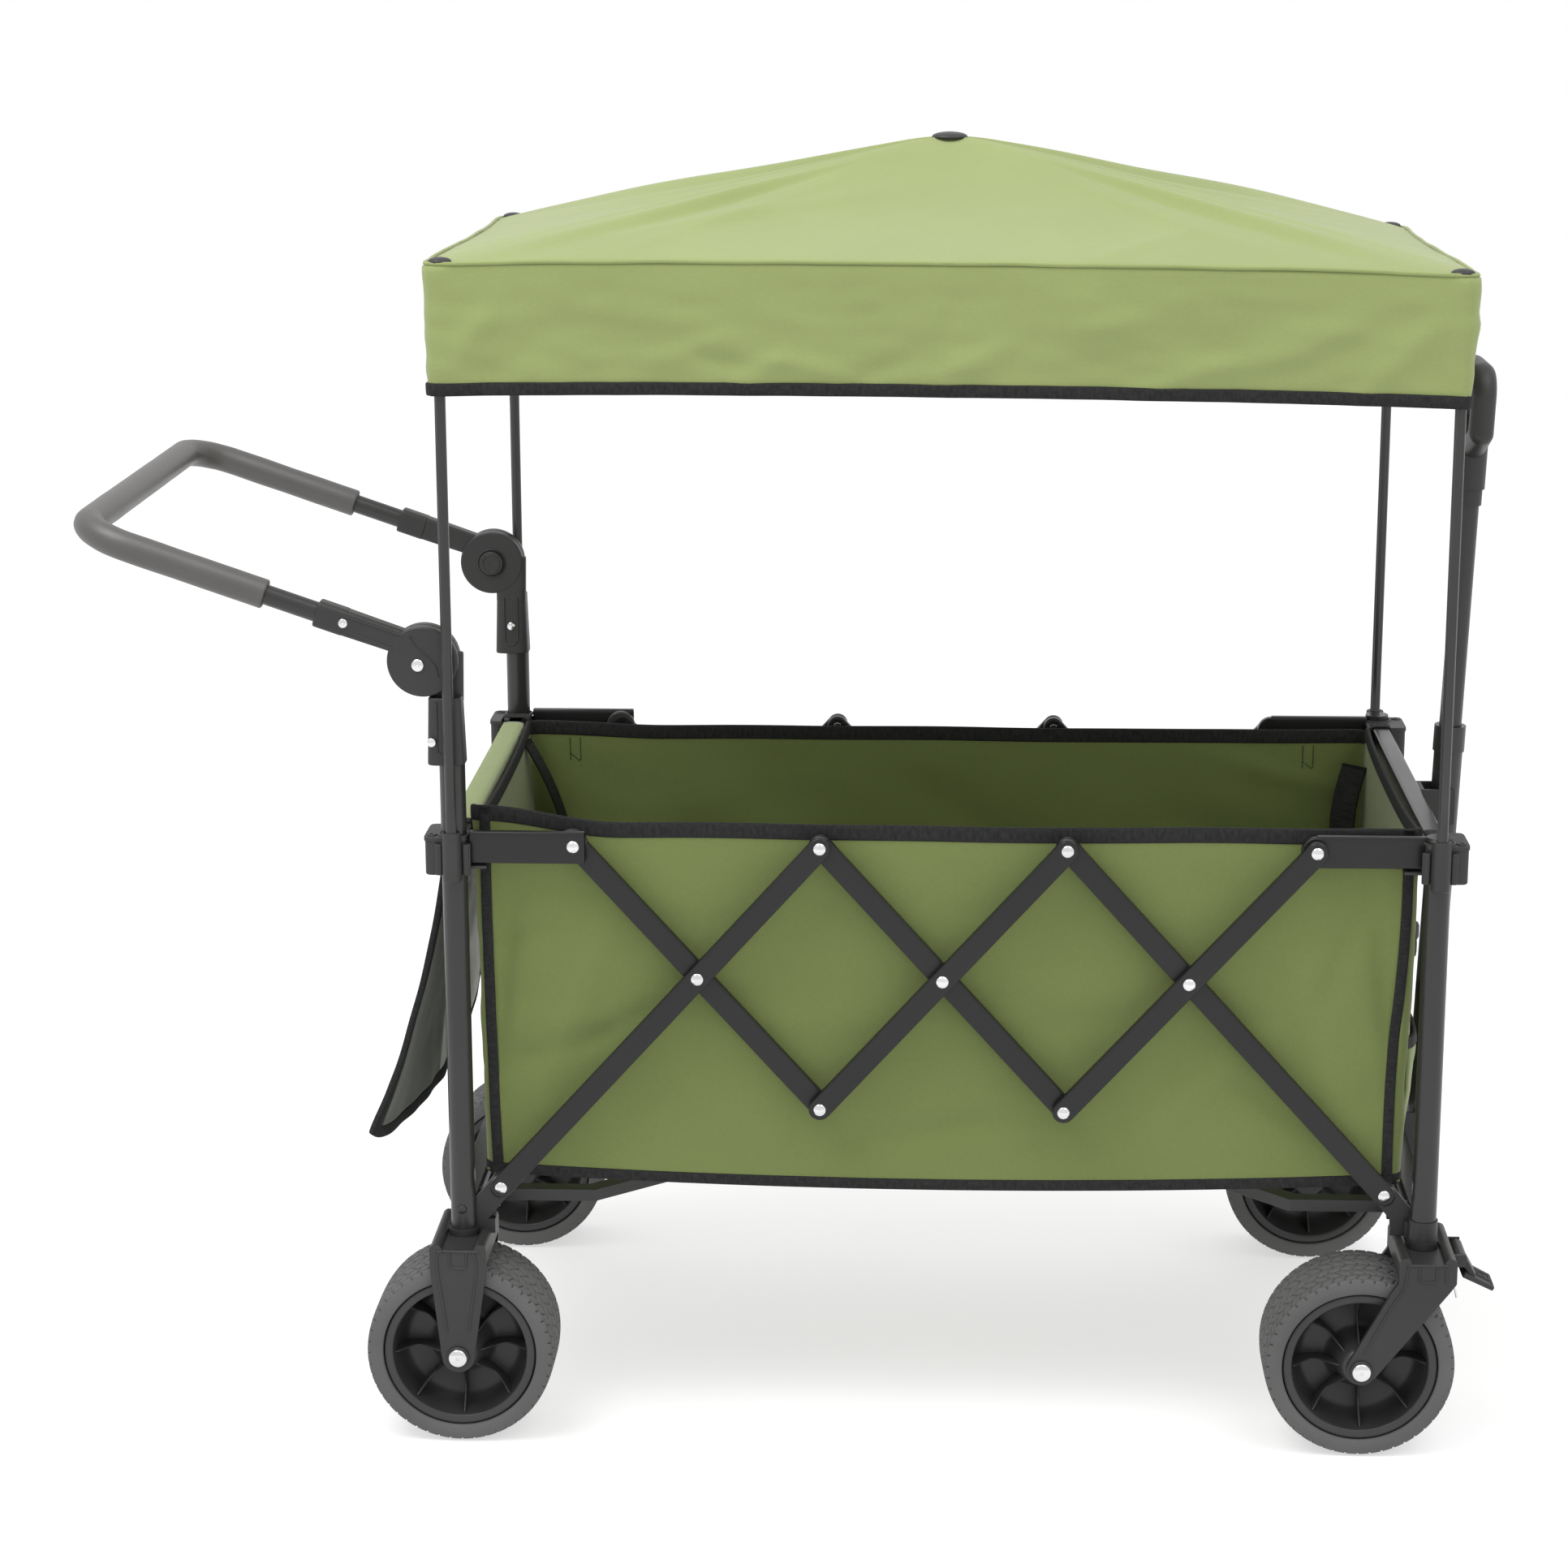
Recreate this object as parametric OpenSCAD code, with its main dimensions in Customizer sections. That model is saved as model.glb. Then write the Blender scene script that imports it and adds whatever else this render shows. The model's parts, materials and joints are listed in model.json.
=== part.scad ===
// Folding wagon with a rear push bar, a telescoping front pull handle and a removable canopy.
// +X is the front, -Y the near side, +Z up; the origin is on the ground under the middle of the basket.

/* [Chassis] */
// Distance from the middle to the front and rear posts, along X
post_x = 457; // [430:1:480]
// Distance from the middle to the posts, along Y
post_y = 255; // [240:1:290]
// Radius of the round posts
post_r = 12; // [11:0.5:13]
// Height of the post collars when open
collar_z = 582; // [560:1:600]

/* [Folding links] */
// Half of the distance between two neighbouring pivots, along X
link_run = 115; // [105:1:118]
// Half of the distance between upper and lower pivots, along Z
link_rise = 127.5; // [120:0.5:135]
// Height of the crossing pivots
cross_z = 457; // [445:1:470]
// Length of the long lower arm of an end link, in half links
long_arm = 1.648; // [1.6:0.001:1.66]
// Width of a link bar
link_w = 21; // [18:0.5:24]
// Thickness of a link bar
link_t = 9; // [8:0.5:9.5]

/* [Wheels] */
// Radius of the tyre
wheel_r = 90; // [85:1:92]
// Width of the tyre
tyre_w = 82; // [60:1:84]
// Radius of the rim, where the tyre sits
rim_r = 73; // [66:1:75]
// How far the caster axle trails behind its swivel axis
trail = 59; // [40:1:62]
// Number of ribs in a rim
rib_count = 8; // [6:1:10]

/* [Basket] */
// Half length of the basket
basket_x = 441; // [420:1:443]
// Half width of the basket
basket_y = 236; // [215:1:236.5]
// Height of the basket floor
basket_bottom = 245; // [240:1:260]
// Height of the basket rim
basket_top = 590; // [560:1:600]
// Thickness of the basket cloth, padding included
cloth = 3; // [2:0.5:5]

/* [Push bar] */
// Distance of the push bar pivots from the middle, along X
hub_x = 481; // [478:1:486]
// Height of the push bar pivots
hub_z = 760; // [740:1:790]
// Radius of the pivot discs
hub_r = 33; // [28:1:35]
// Length of the push bar from pivot to grip
push_len = 338; // [280:1:400]
// Rise of the push bar, in degrees above level
push_rise = 19; // [10:1:30]

/* [Pull handle] */
// Distance of the pull handle pivot from the middle, along X
pull_x = 483; // [482:1:490]
// Height of the pull handle pivot
pull_z = 204; // [195:1:206]
// Forward lean of the stowed pull handle, in degrees
pull_lean = 2; // [1:0.5:4]
// Length of the outer tube
outer_len = 444; // [380:1:460]
// Height of the grip's top above the pivot
grip_top = 806; // [740:1:840]

/* [Canopy] */
// Half length of the canopy at the eaves
canopy_x = 472; // [468:1:490]
// Half width of the canopy at the eaves
canopy_y = 284; // [282:1:300]
// Height of the eaves
eave_z = 1116; // [1080:1:1140]
// Height of the canopy's peak
peak_z = 1220; // [1190:1:1240]
// Depth of the valance
valance = 122; // [90:1:140]
// Radius of the canopy poles
pole_r = 5; // [4:0.25:5.25]

/* [Hidden] */
$fn = 48;

// Colours
satin_black = [0.13, 0.13, 0.13];
plastic_black = [0.1, 0.1, 0.1];
bright_steel = [0.75, 0.76, 0.78];
rubber_grey = [0.2, 0.2, 0.2];
olive_green = [0.36, 0.44, 0.2];
leaf_green = [0.5, 0.62, 0.3];

// Layers across the near side, as distances from the middle plane
gap = 0.4;
inner_face = 245;
inner_out = inner_face + link_t;
outer_face = inner_out + 1;
outer_out = outer_face + link_t;
pole_y = post_y + post_r + pole_r + 1;

// Pivots in the open position
pivot_rise = cross_z + link_rise;
pivot_drop = cross_z - link_rise;
end_x = (2 + long_arm) * link_run;
end_z = cross_z - long_arm * link_rise;
arm_x = post_x - 28;
arm_h = 28;
pin_r = 4;
run_clear = 0.08;

// Feet, forks and axles
foot_low = wheel_r * 2 + 3;
foot_top = foot_low + 21;
block_top = foot_top - 6;
block_x = 27;
ridge_r = 5.8;
bar_z = 222;
bar_w = 20;
rear_axle_x = post_x + 2;
axle_r = 6;
plate_t = 5;
plate_gap = 2.5;
plate_in = tyre_w / 2 + plate_gap;
plate_out = plate_in + plate_t;
stem_r = 6;
button_r = 4.2;
button_x = post_x + 16.5;
button_z = 685;
foot_button_z = foot_top + 22;
brake_x = post_x + 34;
brake_z = foot_low + 10;
brake_pin_r = 2.4;
floor_hinge_x = post_x - 19;
floor_z = 220;
rail_w = 18;
rail_h = 26;
collar_low = collar_z - 25;
collar_h = 35;

// Both sides of the wagon from one near-side shape
module both() {
    children();
    mirror([0, 1, 0]) children();
}

// The far side from a near-side shape
module far_side() {
    mirror([0, 1, 0]) children();
}

// Moves a shape drawn at the near post onto the post; d is +1 for the front and -1 for the rear
module at_post(d) {
    translate([d * post_x, -post_y, 0]) children();
}

// A cylinder along Y between two distances from the middle plane, on the near side
module pin(x, z, r, from, to) {
    translate([x, -to, z]) rotate([-90, 0, 0]) cylinder(h = to - from, r = r);
}

// A flat bar with round ends between two pivots, on the near side
module bar(a, b, w, from, to) {
    len = norm(b - a);
    angle = atan2(b[1] - a[1], b[0] - a[0]);
    translate([a[0], -from, a[1]]) rotate([90, -angle, 0]) linear_extrude(to - from) {
        translate([0, -w / 2]) square([len, w]);
        circle(w / 2);
        translate([len, 0]) circle(w / 2);
    }
}

// A dome head standing on a face at a distance from the middle plane
module dome(x, z, face, r, h) {
    ball = (r * r + h * h) / (2 * h);
    translate([x, -face, z]) rotate([90, 0, 0]) intersection() {
        translate([0, 0, h - ball]) sphere(ball);
        cylinder(h = h + 1, r = r + 1);
    }
}

// Rear frame

module rear_posts() color(satin_black) both() difference() {
    at_post(-1) translate([0, 0, foot_low + 6]) cylinder(h = 694 - foot_low, r = post_r);
    pin(-post_x, foot_button_z, button_r + gap, post_y, post_y + 20);
}

// A square bar between the posts, with the ears of the floor hinge
module crossbar(d, half) {
    difference() {
        translate([d * post_x - bar_w / 2, -half, bar_z - bar_w / 2]) cube([bar_w, 2 * half, bar_w]);
        both() at_post(d) cylinder(h = 400, r = post_r);
    }
    both() difference() {
        translate([d * (post_x - 15) - 15, -219, floor_z - 9]) cube([30, 6, 18]);
        pin(d * floor_hinge_x, floor_z, pin_r + run_clear, 210, 222);
    }
}

module rear_crossbar() color(satin_black) crossbar(-1, 244);

// The ear that carries the lower end of a link
module link_ear(d, from, to, low) {
    difference() {
        union() {
            bar([d * end_x, end_z], [d * (post_x - 14), foot_top + 14], 22, from, to);
            translate([d * (post_x - 20) - 10, -to, low]) cube([20, to - from, 14]);
        }
        pin(d * end_x, end_z, pin_r + run_clear, from - 1, to + 1);
        at_post(d) cylinder(h = 400, r = post_r);
    }
}

// The top of a fork at a post: a block with a rounded ridge along each edge
module fork_block(d) {
    translate([d * post_x - block_x, -post_y - plate_out, foot_low])
        cube([2 * block_x, 2 * plate_out, block_top - foot_low]);
    for (side = [-1, 1])
        translate([d * post_x + side * (block_x - ridge_r), -post_y + plate_out, foot_top - ridge_r])
            rotate([90, 0, 0]) cylinder(h = 2 * plate_out, r = ridge_r);
}

module fork_plate(y) {
    translate([0, y + plate_t, 0]) rotate([90, 0, 0]) linear_extrude(plate_t) {
        translate([-rear_axle_x, wheel_r]) circle(15.5);
        polygon([
            [-post_x - block_x, block_top - 2], [-post_x + block_x, block_top - 2],
            [-post_x + block_x, foot_low - 4], [-rear_axle_x + 15.5, wheel_r],
            [-rear_axle_x - 15.5, wheel_r], [-post_x - block_x, foot_low - 4]
        ]);
    }
}

module rear_foot() {
    difference() {
        union() {
            fork_block(-1);
            at_post(-1) translate([0, 0, block_top]) cylinder(h = 7, r = post_r + 2.5);
        }
        at_post(-1) translate([0, 0, foot_low + 6]) cylinder(h = 100, r = post_r);
    }
    for (side = [-1, 1]) fork_plate(-post_y + side * (plate_in + plate_t / 2) - plate_t / 2);
    pin(-rear_axle_x, wheel_r, axle_r, post_y - plate_out - 3, post_y + plate_out);
    dome(-rear_axle_x, wheel_r, post_y + plate_out, 9, 4);
    link_ear(-1, inner_face, inner_out + 0.6, block_top);
}

module rear_feet() color(plastic_black) both() rear_foot();

// The fixed half of a push bar pivot, with the sleeve round the post
module push_hub_base() {
    difference() {
        union() {
            translate([-post_x - 22, -post_y - 12.5, 662]) cube([35, 27.5, 64]);
            translate([-post_x - 22, -post_y + 1.5, 720]) cube([35, 13.5, 46]);
            pin(-hub_x, hub_z, hub_r, post_y - 15, post_y - 1.5);
        }
        pin(-hub_x, hub_z, 13.5, post_y - 30, post_y - 10);
        at_post(-1) cylinder(h = 700, r = post_r);
        pin(-button_x, button_z, button_r + gap, post_y + 4, post_y + 40);
        translate([-hub_x - 40, -post_y - 40, hub_z - hub_r - 2]) cube([80, 41.5, 80]);
    }
}

module push_hub_bases() color(plastic_black) both() push_hub_base();

// A sprung button standing out of the near side
module button(x, z, r, from, to) color(bright_steel) {
    pin(x, z, r, from, to);
    dome(x, z, to, r, r / 3);
}

module post_button() button(-button_x, button_z, button_r, post_y + 8, post_y + 16);
module foot_button() button(-post_x, foot_button_z, button_r, post_y + 4, post_y + post_r + 0.5);
module post_button_near() post_button();
module post_button_far() far_side() post_button();
module foot_button_near() foot_button();
module foot_button_far() far_side() foot_button();

// The release button in the inner face of a push bar pivot
module hub_button() color(plastic_black) difference() {
    pin(-hub_x, hub_z, 13.1, post_y - 20, post_y - 14);
    pin(-hub_x, hub_z, 9, post_y - 21, post_y - 19);
}

module hub_button_near() hub_button();
module hub_button_far() far_side() hub_button();

// Collars, rails and short arms that slide up the posts as the wagon folds

module collar_half(d, cheek_from, cheek_to) {
    difference() {
        union() {
            translate([d * (post_x + 7) - 20, -post_y - 13, collar_low]) cube([40, 29.5, collar_h]);
            translate([d * (post_x + 10) - 16, -post_y - 14.5, collar_low + 8])
                cube([32, 3, collar_h - 16]);
            at_post(d) translate([0, -(pole_y - post_y), collar_low - 3]) cylinder(h = collar_h + 3, r = 9);
            bar([d * arm_x, collar_z], [d * (arm_x + 16), collar_z], 24, cheek_from, cheek_to);
        }
        at_post(d) translate([0, 0, 100]) cylinder(h = 900, r = post_r + 0.3);
        at_post(d) translate([0, -(pole_y - post_y), collar_low + 10])
            cylinder(h = 90, r = pole_r + 0.3);
        pin(d * arm_x, collar_z, pin_r, cheek_from - 1, cheek_to + 1);
    }
    pin(d * arm_x, collar_z, pin_r, cheek_from, cheek_from + 15);
    translate([d * (arm_x + 8) - 8, -outer_out, collar_z - arm_h / 2 - 4]) cube([16, 24, 3.4]);
}

module rear_collars() color(plastic_black) both() collar_half(-1, inner_face, inner_out + 0.5);

module front_collars() color(plastic_black) both() collar_half(1, 238.5, 244.6);

module rail(d) {
    translate([d * post_x - rail_w / 2, -238.5, collar_z - 14]) cube([rail_w, 477, rail_h]);
}

module rear_rail() color(satin_black) rail(-1);
module front_rail() color(satin_black) rail(1);

// The cloth flap that goes over the rear rail and hangs outside
module end_flap() color(leaf_green) {
    over = post_x + rail_w / 2;
    rotate([90, 0, 0]) translate([0, 0, -190]) linear_extrude(380) polygon([
        [-over + 1, collar_z + 12], [-over + 1, collar_z + 15], [-over - 4, collar_z + 14],
        [-over - 40, 380], [-over - 86, 264], [-over - 83, 262], [-over - 37, 379],
        [-over - 0.4, collar_z + 8], [-over - 0.4, collar_z + 12]
    ]);
}

// The short arm between a collar and the first link
module short_arm(d, from, to) {
    difference() {
        bar([d * arm_x, collar_z], [d * 3 * link_run, pivot_rise], arm_h, from, to);
        pin(d * arm_x, collar_z, pin_r + run_clear, from - 1, to + 1);
    }
}

module rear_arms() color(satin_black) both() difference() {
    short_arm(-1, outer_face, outer_out);
    pin(-3 * link_run, pivot_rise, pin_r, outer_face - 1, outer_out + 1);
}

module front_arms() color(satin_black) both() short_arm(1, inner_face, inner_out);

module arm_rivets() color(bright_steel) both() {
    pin(-3 * link_run, pivot_rise, pin_r, outer_face, outer_out);
    dome(-3 * link_run, pivot_rise, outer_out, 6, 2.5);
}

// Links; each bar has a pin hole where another link turns on it

module link(a, b, from, to, holes, clear) {
    difference() {
        bar(a, b, link_w, from, to);
        for (h = holes) pin(h[0], h[1], pin_r + clear, from - 1, to + 1);
    }
}

module inner_link(a, b, holes) color(satin_black) both()
    link(a, b, inner_face, inner_out, holes, run_clear);

module outer_link(a, b, holes) color(satin_black) both()
    link(a, b, outer_face, outer_out, holes, 0);

module links_a() inner_link(
    [-3 * link_run, pivot_rise], [-link_run, pivot_drop],
    [[-2 * link_run, cross_z], [-link_run, pivot_drop]]);
module links_b() outer_link(
    [-end_x, end_z], [-link_run, pivot_rise],
    [[-end_x, end_z], [-2 * link_run, cross_z], [-link_run, pivot_rise]]);
module links_c() inner_link(
    [-link_run, pivot_rise], [link_run, pivot_drop],
    [[-link_run, pivot_rise], [0, cross_z], [link_run, pivot_drop]]);
module links_d() outer_link(
    [-link_run, pivot_drop], [link_run, pivot_rise],
    [[-link_run, pivot_drop], [0, cross_z], [link_run, pivot_rise]]);
module links_e() inner_link(
    [link_run, pivot_rise], [end_x, end_z],
    [[link_run, pivot_rise], [2 * link_run, cross_z], [end_x, end_z]]);
module links_f() outer_link(
    [link_run, pivot_drop], [3 * link_run, pivot_rise],
    [[link_run, pivot_drop], [2 * link_run, cross_z], [3 * link_run, pivot_rise]]);

module rivet(p, from) {
    pin(p[0], p[1], pin_r, from, outer_out);
    dome(p[0], p[1], outer_out, 6, 2.5);
}

module rivets_b() color(bright_steel) both()
    for (p = [[-end_x, end_z], [-2 * link_run, cross_z], [-link_run, pivot_rise]])
        rivet(p, inner_face);
module rivets_d() color(bright_steel) both()
    for (p = [[-link_run, pivot_drop], [0, cross_z], [link_run, pivot_rise]])
        rivet(p, inner_face);
module rivets_f() color(bright_steel) both() {
    rivet([link_run, pivot_drop], inner_face);
    rivet([2 * link_run, cross_z], inner_face);
    rivet([3 * link_run, pivot_rise], outer_face);
}
module rivets_e() color(bright_steel) both() {
    pin(end_x, end_z, pin_r, 238.5, inner_out);
    dome(end_x, end_z, inner_out, 6, 2.5);
}

// Front frame

module front_posts() color(satin_black) both() at_post(1)
    translate([0, 0, foot_top + 14]) cylinder(h = collar_z - foot_top + 4, r = post_r);

module front_crossbar() color(satin_black) crossbar(1, 238.5);

module front_foot() {
    difference() {
        union() {
            at_post(1) translate([0, 0, block_top + 0.5]) {
                cylinder(h = 7, r = post_r + 2.5);
                cylinder(h = 27, r = post_r + 1.5);
            }
            translate([post_x - 17, -252, foot_top + 1]) cube([14, 12, 16]);
        }
        at_post(1) translate([0, 0, foot_top + 14]) cylinder(h = 100, r = post_r);
        at_post(1) translate([0, 0, block_top - 1]) cylinder(h = 13, r = stem_r + run_clear);
    }
    link_ear(1, 238.5, inner_face - 0.4, foot_top + 0.5);
}

module front_feet() color(plastic_black) both() front_foot();

module handle_bracket() color(plastic_black) {
    for (side = [-1, 1]) translate([0, side * 18 + 2, 0]) rotate([90, 0, 0]) linear_extrude(4)
        polygon([
            [post_x + bar_w / 2, bar_z - 12], [pull_x - 8, pull_z - 18], [pull_x + 9, pull_z - 14],
            [pull_x + 11, pull_z + 6], [pull_x - 2, pull_z + 46], [post_x + bar_w / 2, pull_z + 46]
        ]);
    translate([pull_x, -20, pull_z]) rotate([-90, 0, 0]) cylinder(h = 40, r = pin_r);
}

module front_pockets() color(olive_green)
    translate([basket_x + 1, -170, bar_z + bar_w / 2]) cube([9, 340, 250]);

module handle_clip() color(plastic_black) {
    face = post_x + rail_w / 2;
    translate([face, -19, collar_z - 32]) cube([8, 38, 36]);
    for (side = [-1, 1]) translate([face, side * 17 - 2, collar_z - 32]) cube([38, 4, 36]);
}

// Casters, brakes and wheels

module caster_plate(y) {
    translate([0, y + plate_t, 0]) rotate([90, 0, 0]) linear_extrude(plate_t) {
        translate([post_x - trail, wheel_r]) circle(14);
        polygon([
            [post_x - block_x, block_top - 2], [post_x + block_x, block_top - 2],
            [post_x + block_x, foot_low - 4], [post_x + block_x - 7, foot_low - 14],
            [post_x - trail + 12, wheel_r - 8], [post_x - trail - 12, wheel_r + 8],
            [post_x - block_x - 6, foot_low - 13], [post_x - block_x, foot_low - 4]
        ]);
    }
}

module caster_fork() color(plastic_black) {
    fork_block(1);
    at_post(1) translate([0, 0, block_top]) cylinder(h = 10, r = stem_r);
    for (side = [-1, 1]) translate([post_x + 25, -post_y + side * 23 - 1.5, foot_low + 4])
        cube([brake_x - post_x - 21, 3, 12]);
    pin(brake_x, brake_z, brake_pin_r, post_y - 23, post_y + 23);
    for (side = [-1, 1]) caster_plate(-post_y + side * (plate_in + plate_t / 2) - plate_t / 2);
    pin(post_x - trail, wheel_r, axle_r, post_y - plate_out - 3, post_y + plate_out);
    dome(post_x - trail, wheel_r, post_y + plate_out, 9, 4);
}

module caster_fork_near() caster_fork();
module caster_fork_far() far_side() caster_fork();

module brake_pedal() color(plastic_black) {
    difference() {
        pin(brake_x, brake_z, 6, post_y - 20, post_y + 20);
        pin(brake_x, brake_z, brake_pin_r + run_clear, post_y - 21, post_y + 21);
    }
    translate([brake_x, -post_y, brake_z]) rotate([0, 48, 0]) translate([5, -20, -3])
        cube([36, 40, 6]);
}

module brake_pedal_near() brake_pedal();
module brake_pedal_far() far_side() brake_pedal();

module rim() color(plastic_black) rotate([90, 0, 0]) {
    half = tyre_w / 2 - 3;
    hub_half = tyre_w / 2 + 1;
    rotate_extrude($fn = 96) polygon([
        [rim_r - 5, -half], [rim_r, -half], [rim_r, half], [rim_r - 5, half], [rim_r - 9, 3],
        [16, 3], [14, hub_half], [axle_r + run_clear, hub_half], [axle_r + run_clear, -hub_half],
        [14, -hub_half], [16, -3], [rim_r - 9, -3]
    ]);
    for (i = [0 : rib_count - 1]) rotate(i * 360 / rib_count)
        translate([13, -1.5, -20]) cube([rim_r - 20, 3, 40]);
}

module tyre() color(rubber_grey) rotate([90, 0, 0]) {
    half = tyre_w / 2;
    rotate_extrude($fn = 96) polygon([
        [rim_r, 3 - half], [rim_r + 2, -half], [wheel_r - 7, -half], [wheel_r - 2, -half + 5],
        [wheel_r, -half + 16], [wheel_r, -4], [wheel_r - 3, -3], [wheel_r - 3, 3],
        [wheel_r, 4], [wheel_r, half - 16], [wheel_r - 2, half - 5],
        [wheel_r - 7, half], [rim_r + 2, half], [rim_r, half - 3]
    ]);
}

module at_rear_wheel(side) translate([-rear_axle_x, side * post_y, wheel_r]) children();
module at_front_wheel(side) translate([post_x - trail, side * post_y, wheel_r]) children();

module rear_rim_near() at_rear_wheel(-1) rim();
module rear_rim_far() at_rear_wheel(1) rim();
module front_rim_near() at_front_wheel(-1) rim();
module front_rim_far() at_front_wheel(1) rim();
module rear_tyre_near() at_rear_wheel(-1) tyre();
module rear_tyre_far() at_rear_wheel(1) tyre();
module front_tyre_near() at_front_wheel(-1) tyre();
module front_tyre_far() at_front_wheel(1) tyre();

// Floor frames under the basket; both turn up at the middle as the wagon folds

module floor_bars(d, tip_y) color(satin_black) {
    wide = 200;
    bend = 335;
    straight = 150;
    bar_y = 16;
    for (side = [-1, 1]) translate([0, 0, floor_z - 6]) linear_extrude(12) polygon([
        [d * (floor_hinge_x - 4), side * (wide + bar_y / 2)],
        [d * bend, side * (wide + bar_y / 2)],
        [d * straight, side * (tip_y + bar_y / 2)],
        [d * 2, side * (tip_y + bar_y / 2)],
        [d * 2, side * (tip_y - bar_y / 2)],
        [d * (straight + 7), side * (tip_y - bar_y / 2)],
        [d * (bend + 7), side * (wide - bar_y / 2)],
        [d * (floor_hinge_x - 4), side * (wide - bar_y / 2)]
    ]);
    translate([d * (straight + 10) - 5, -tip_y, floor_z - 5]) cube([10, 2 * tip_y, 10]);
    translate([d * floor_hinge_x, -212, floor_z]) rotate([-90, 0, 0]) cylinder(h = 424, r = 6);
    both() pin(d * floor_hinge_x, floor_z, pin_r, 210, 222);
}

module floor_bars_rear() floor_bars(-1, 42);
module floor_bars_front() floor_bars(1, 16);

module basket() color(olive_green) difference() {
    translate([-basket_x, -basket_y, basket_bottom])
        cube([2 * basket_x, 2 * basket_y, basket_top - basket_bottom]);
    translate([-basket_x + cloth, -basket_y + cloth, basket_bottom + cloth])
        cube([2 * (basket_x - cloth), 2 * (basket_y - cloth), basket_top]);
}

// Push bar

// Moves a shape drawn along +X from a push bar pivot into place
module at_push() {
    translate([-hub_x, 0, hub_z]) rotate([0, push_rise, 0]) mirror([1, 0, 0]) children();
}

module push_arm() {
    pin(-hub_x, hub_z, hub_r, post_y - 1, post_y + 11);
    dome(-hub_x - 4, hub_z, post_y + 11, 6, 2.5);
    difference() {
        at_push() translate([8, -post_y - 11, -3]) cube([98, 22, 25]);
        at_push() translate([50, -post_y, 10]) rotate([0, 90, 0]) cylinder(h = 90, r = 9.5);
        pin(-hub_x, hub_z, hub_r + 1, post_y - 12, post_y - 1);
    }
}

module push_arms() color(plastic_black) both() push_arm();

// A round tube that runs back, across and forward again, drawn from the pivots' line
module u_tube(start, len, r, bend) {
    both() translate([start, -post_y, 10]) rotate([0, 90, 0]) cylinder(h = len - bend - start, r = r);
    both() translate([len - bend, -post_y + bend, 10]) rotate([0, 0, -90])
        rotate_extrude(angle = 90) translate([bend, 0]) circle(r);
    translate([len, -post_y + bend, 10]) rotate([-90, 0, 0]) cylinder(h = 2 * (post_y - bend), r = r);
}

module push_tube() color(satin_black) at_push() u_tube(50, push_len, 9.5, 48);

module push_grip() color(rubber_grey) at_push() difference() {
    u_tube(158, push_len, 14, 48);
    u_tube(150, push_len, 9.5, 48);
}

// Pull handle

// Moves a shape drawn up from the pull handle pivot into place
module at_pull() {
    translate([pull_x, 0, pull_z]) rotate([0, pull_lean, 0]) children();
}

module pull_outer() color(satin_black) at_pull() {
    difference() {
        union() {
            translate([0, -15, 0]) rotate([-90, 0, 0]) cylinder(h = 30, r = 13);
            cylinder(h = outer_len, r = 14);
            translate([0, 0, outer_len - 26]) cylinder(h = 26, r = 15.5);
        }
        translate([0, 0, 40]) cylinder(h = outer_len, r = 11 + run_clear);
        translate([0, -16, 0]) rotate([-90, 0, 0]) cylinder(h = 32, r = pin_r + run_clear);
    }
}

module pull_inner() color(satin_black) at_pull()
    translate([0, 0, 340]) cylinder(h = 340, r = 11);

module pull_grip() color(plastic_black) at_pull() {
    loop_y = 48;
    loop_r = 12;
    low = grip_top - 88;
    difference() {
        union() {
            translate([0, 0, 664]) cylinder(h = 16, r = 13);
            translate([0, 0, 680]) cylinder(h = low - 674, r = 15);
        }
        translate([0, 0, 600]) cylinder(h = 80, r = 11);
    }
    both() translate([0, -loop_y, low + 22]) cylinder(h = 88 - 22 - loop_r - 20, r = loop_r);
    both() translate([0, -loop_y + 20, grip_top - loop_r - 20]) rotate([0, 90, 0])
        rotate([0, 0, 180]) rotate_extrude(angle = 90) translate([20, 0]) circle(loop_r);
    translate([0, -loop_y + 20, grip_top - loop_r]) rotate([-90, 0, 0])
        cylinder(h = 2 * loop_y - 40, r = loop_r);
    both() hull() {
        translate([0, -loop_y, low + 22]) sphere(loop_r, $fn = 32);
        translate([0, -4, low + 2]) sphere(loop_r, $fn = 32);
    }
}

// Canopy

module pole(d) at_post(d) translate([0, -(pole_y - post_y), 0]) {
    translate([0, 0, collar_low + 10]) cylinder(h = eave_z - 6 - collar_low - 10, r = pole_r);
    translate([0, 0, eave_z - 12]) cylinder(h = 6, r = 8);
}

module canopy_poles_rear() color(satin_black) both() pole(-1);
module canopy_poles_front() color(satin_black) both() pole(1);

module canopy_ribs() color(satin_black) {
    hub_top = [0, 0, peak_z - 18];
    corner = [post_x - 14, pole_y - 8, eave_z - 15];
    span = corner - hub_top;
    turn = atan2(span[1], span[0]);
    tilt = 90 - atan2(span[2], norm([span[0], span[1]]));
    for (angle = [turn, -turn, 180 - turn, 180 + turn])
        translate(hub_top) rotate([0, tilt, angle]) cylinder(h = norm(span), r = 4);
    translate([0, 0, peak_z - 28]) cylinder(h = 18, r = 18);
}

module roof(inset) {
    hull() {
        translate([-canopy_x + inset, -canopy_y + inset, eave_z - 4])
            cube([2 * (canopy_x - inset), 2 * (canopy_y - inset), 4 - inset / 2]);
        translate([0, 0, peak_z - 3 - inset]) cylinder(h = 3, r = 20, $fn = 32);
    }
}

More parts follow.
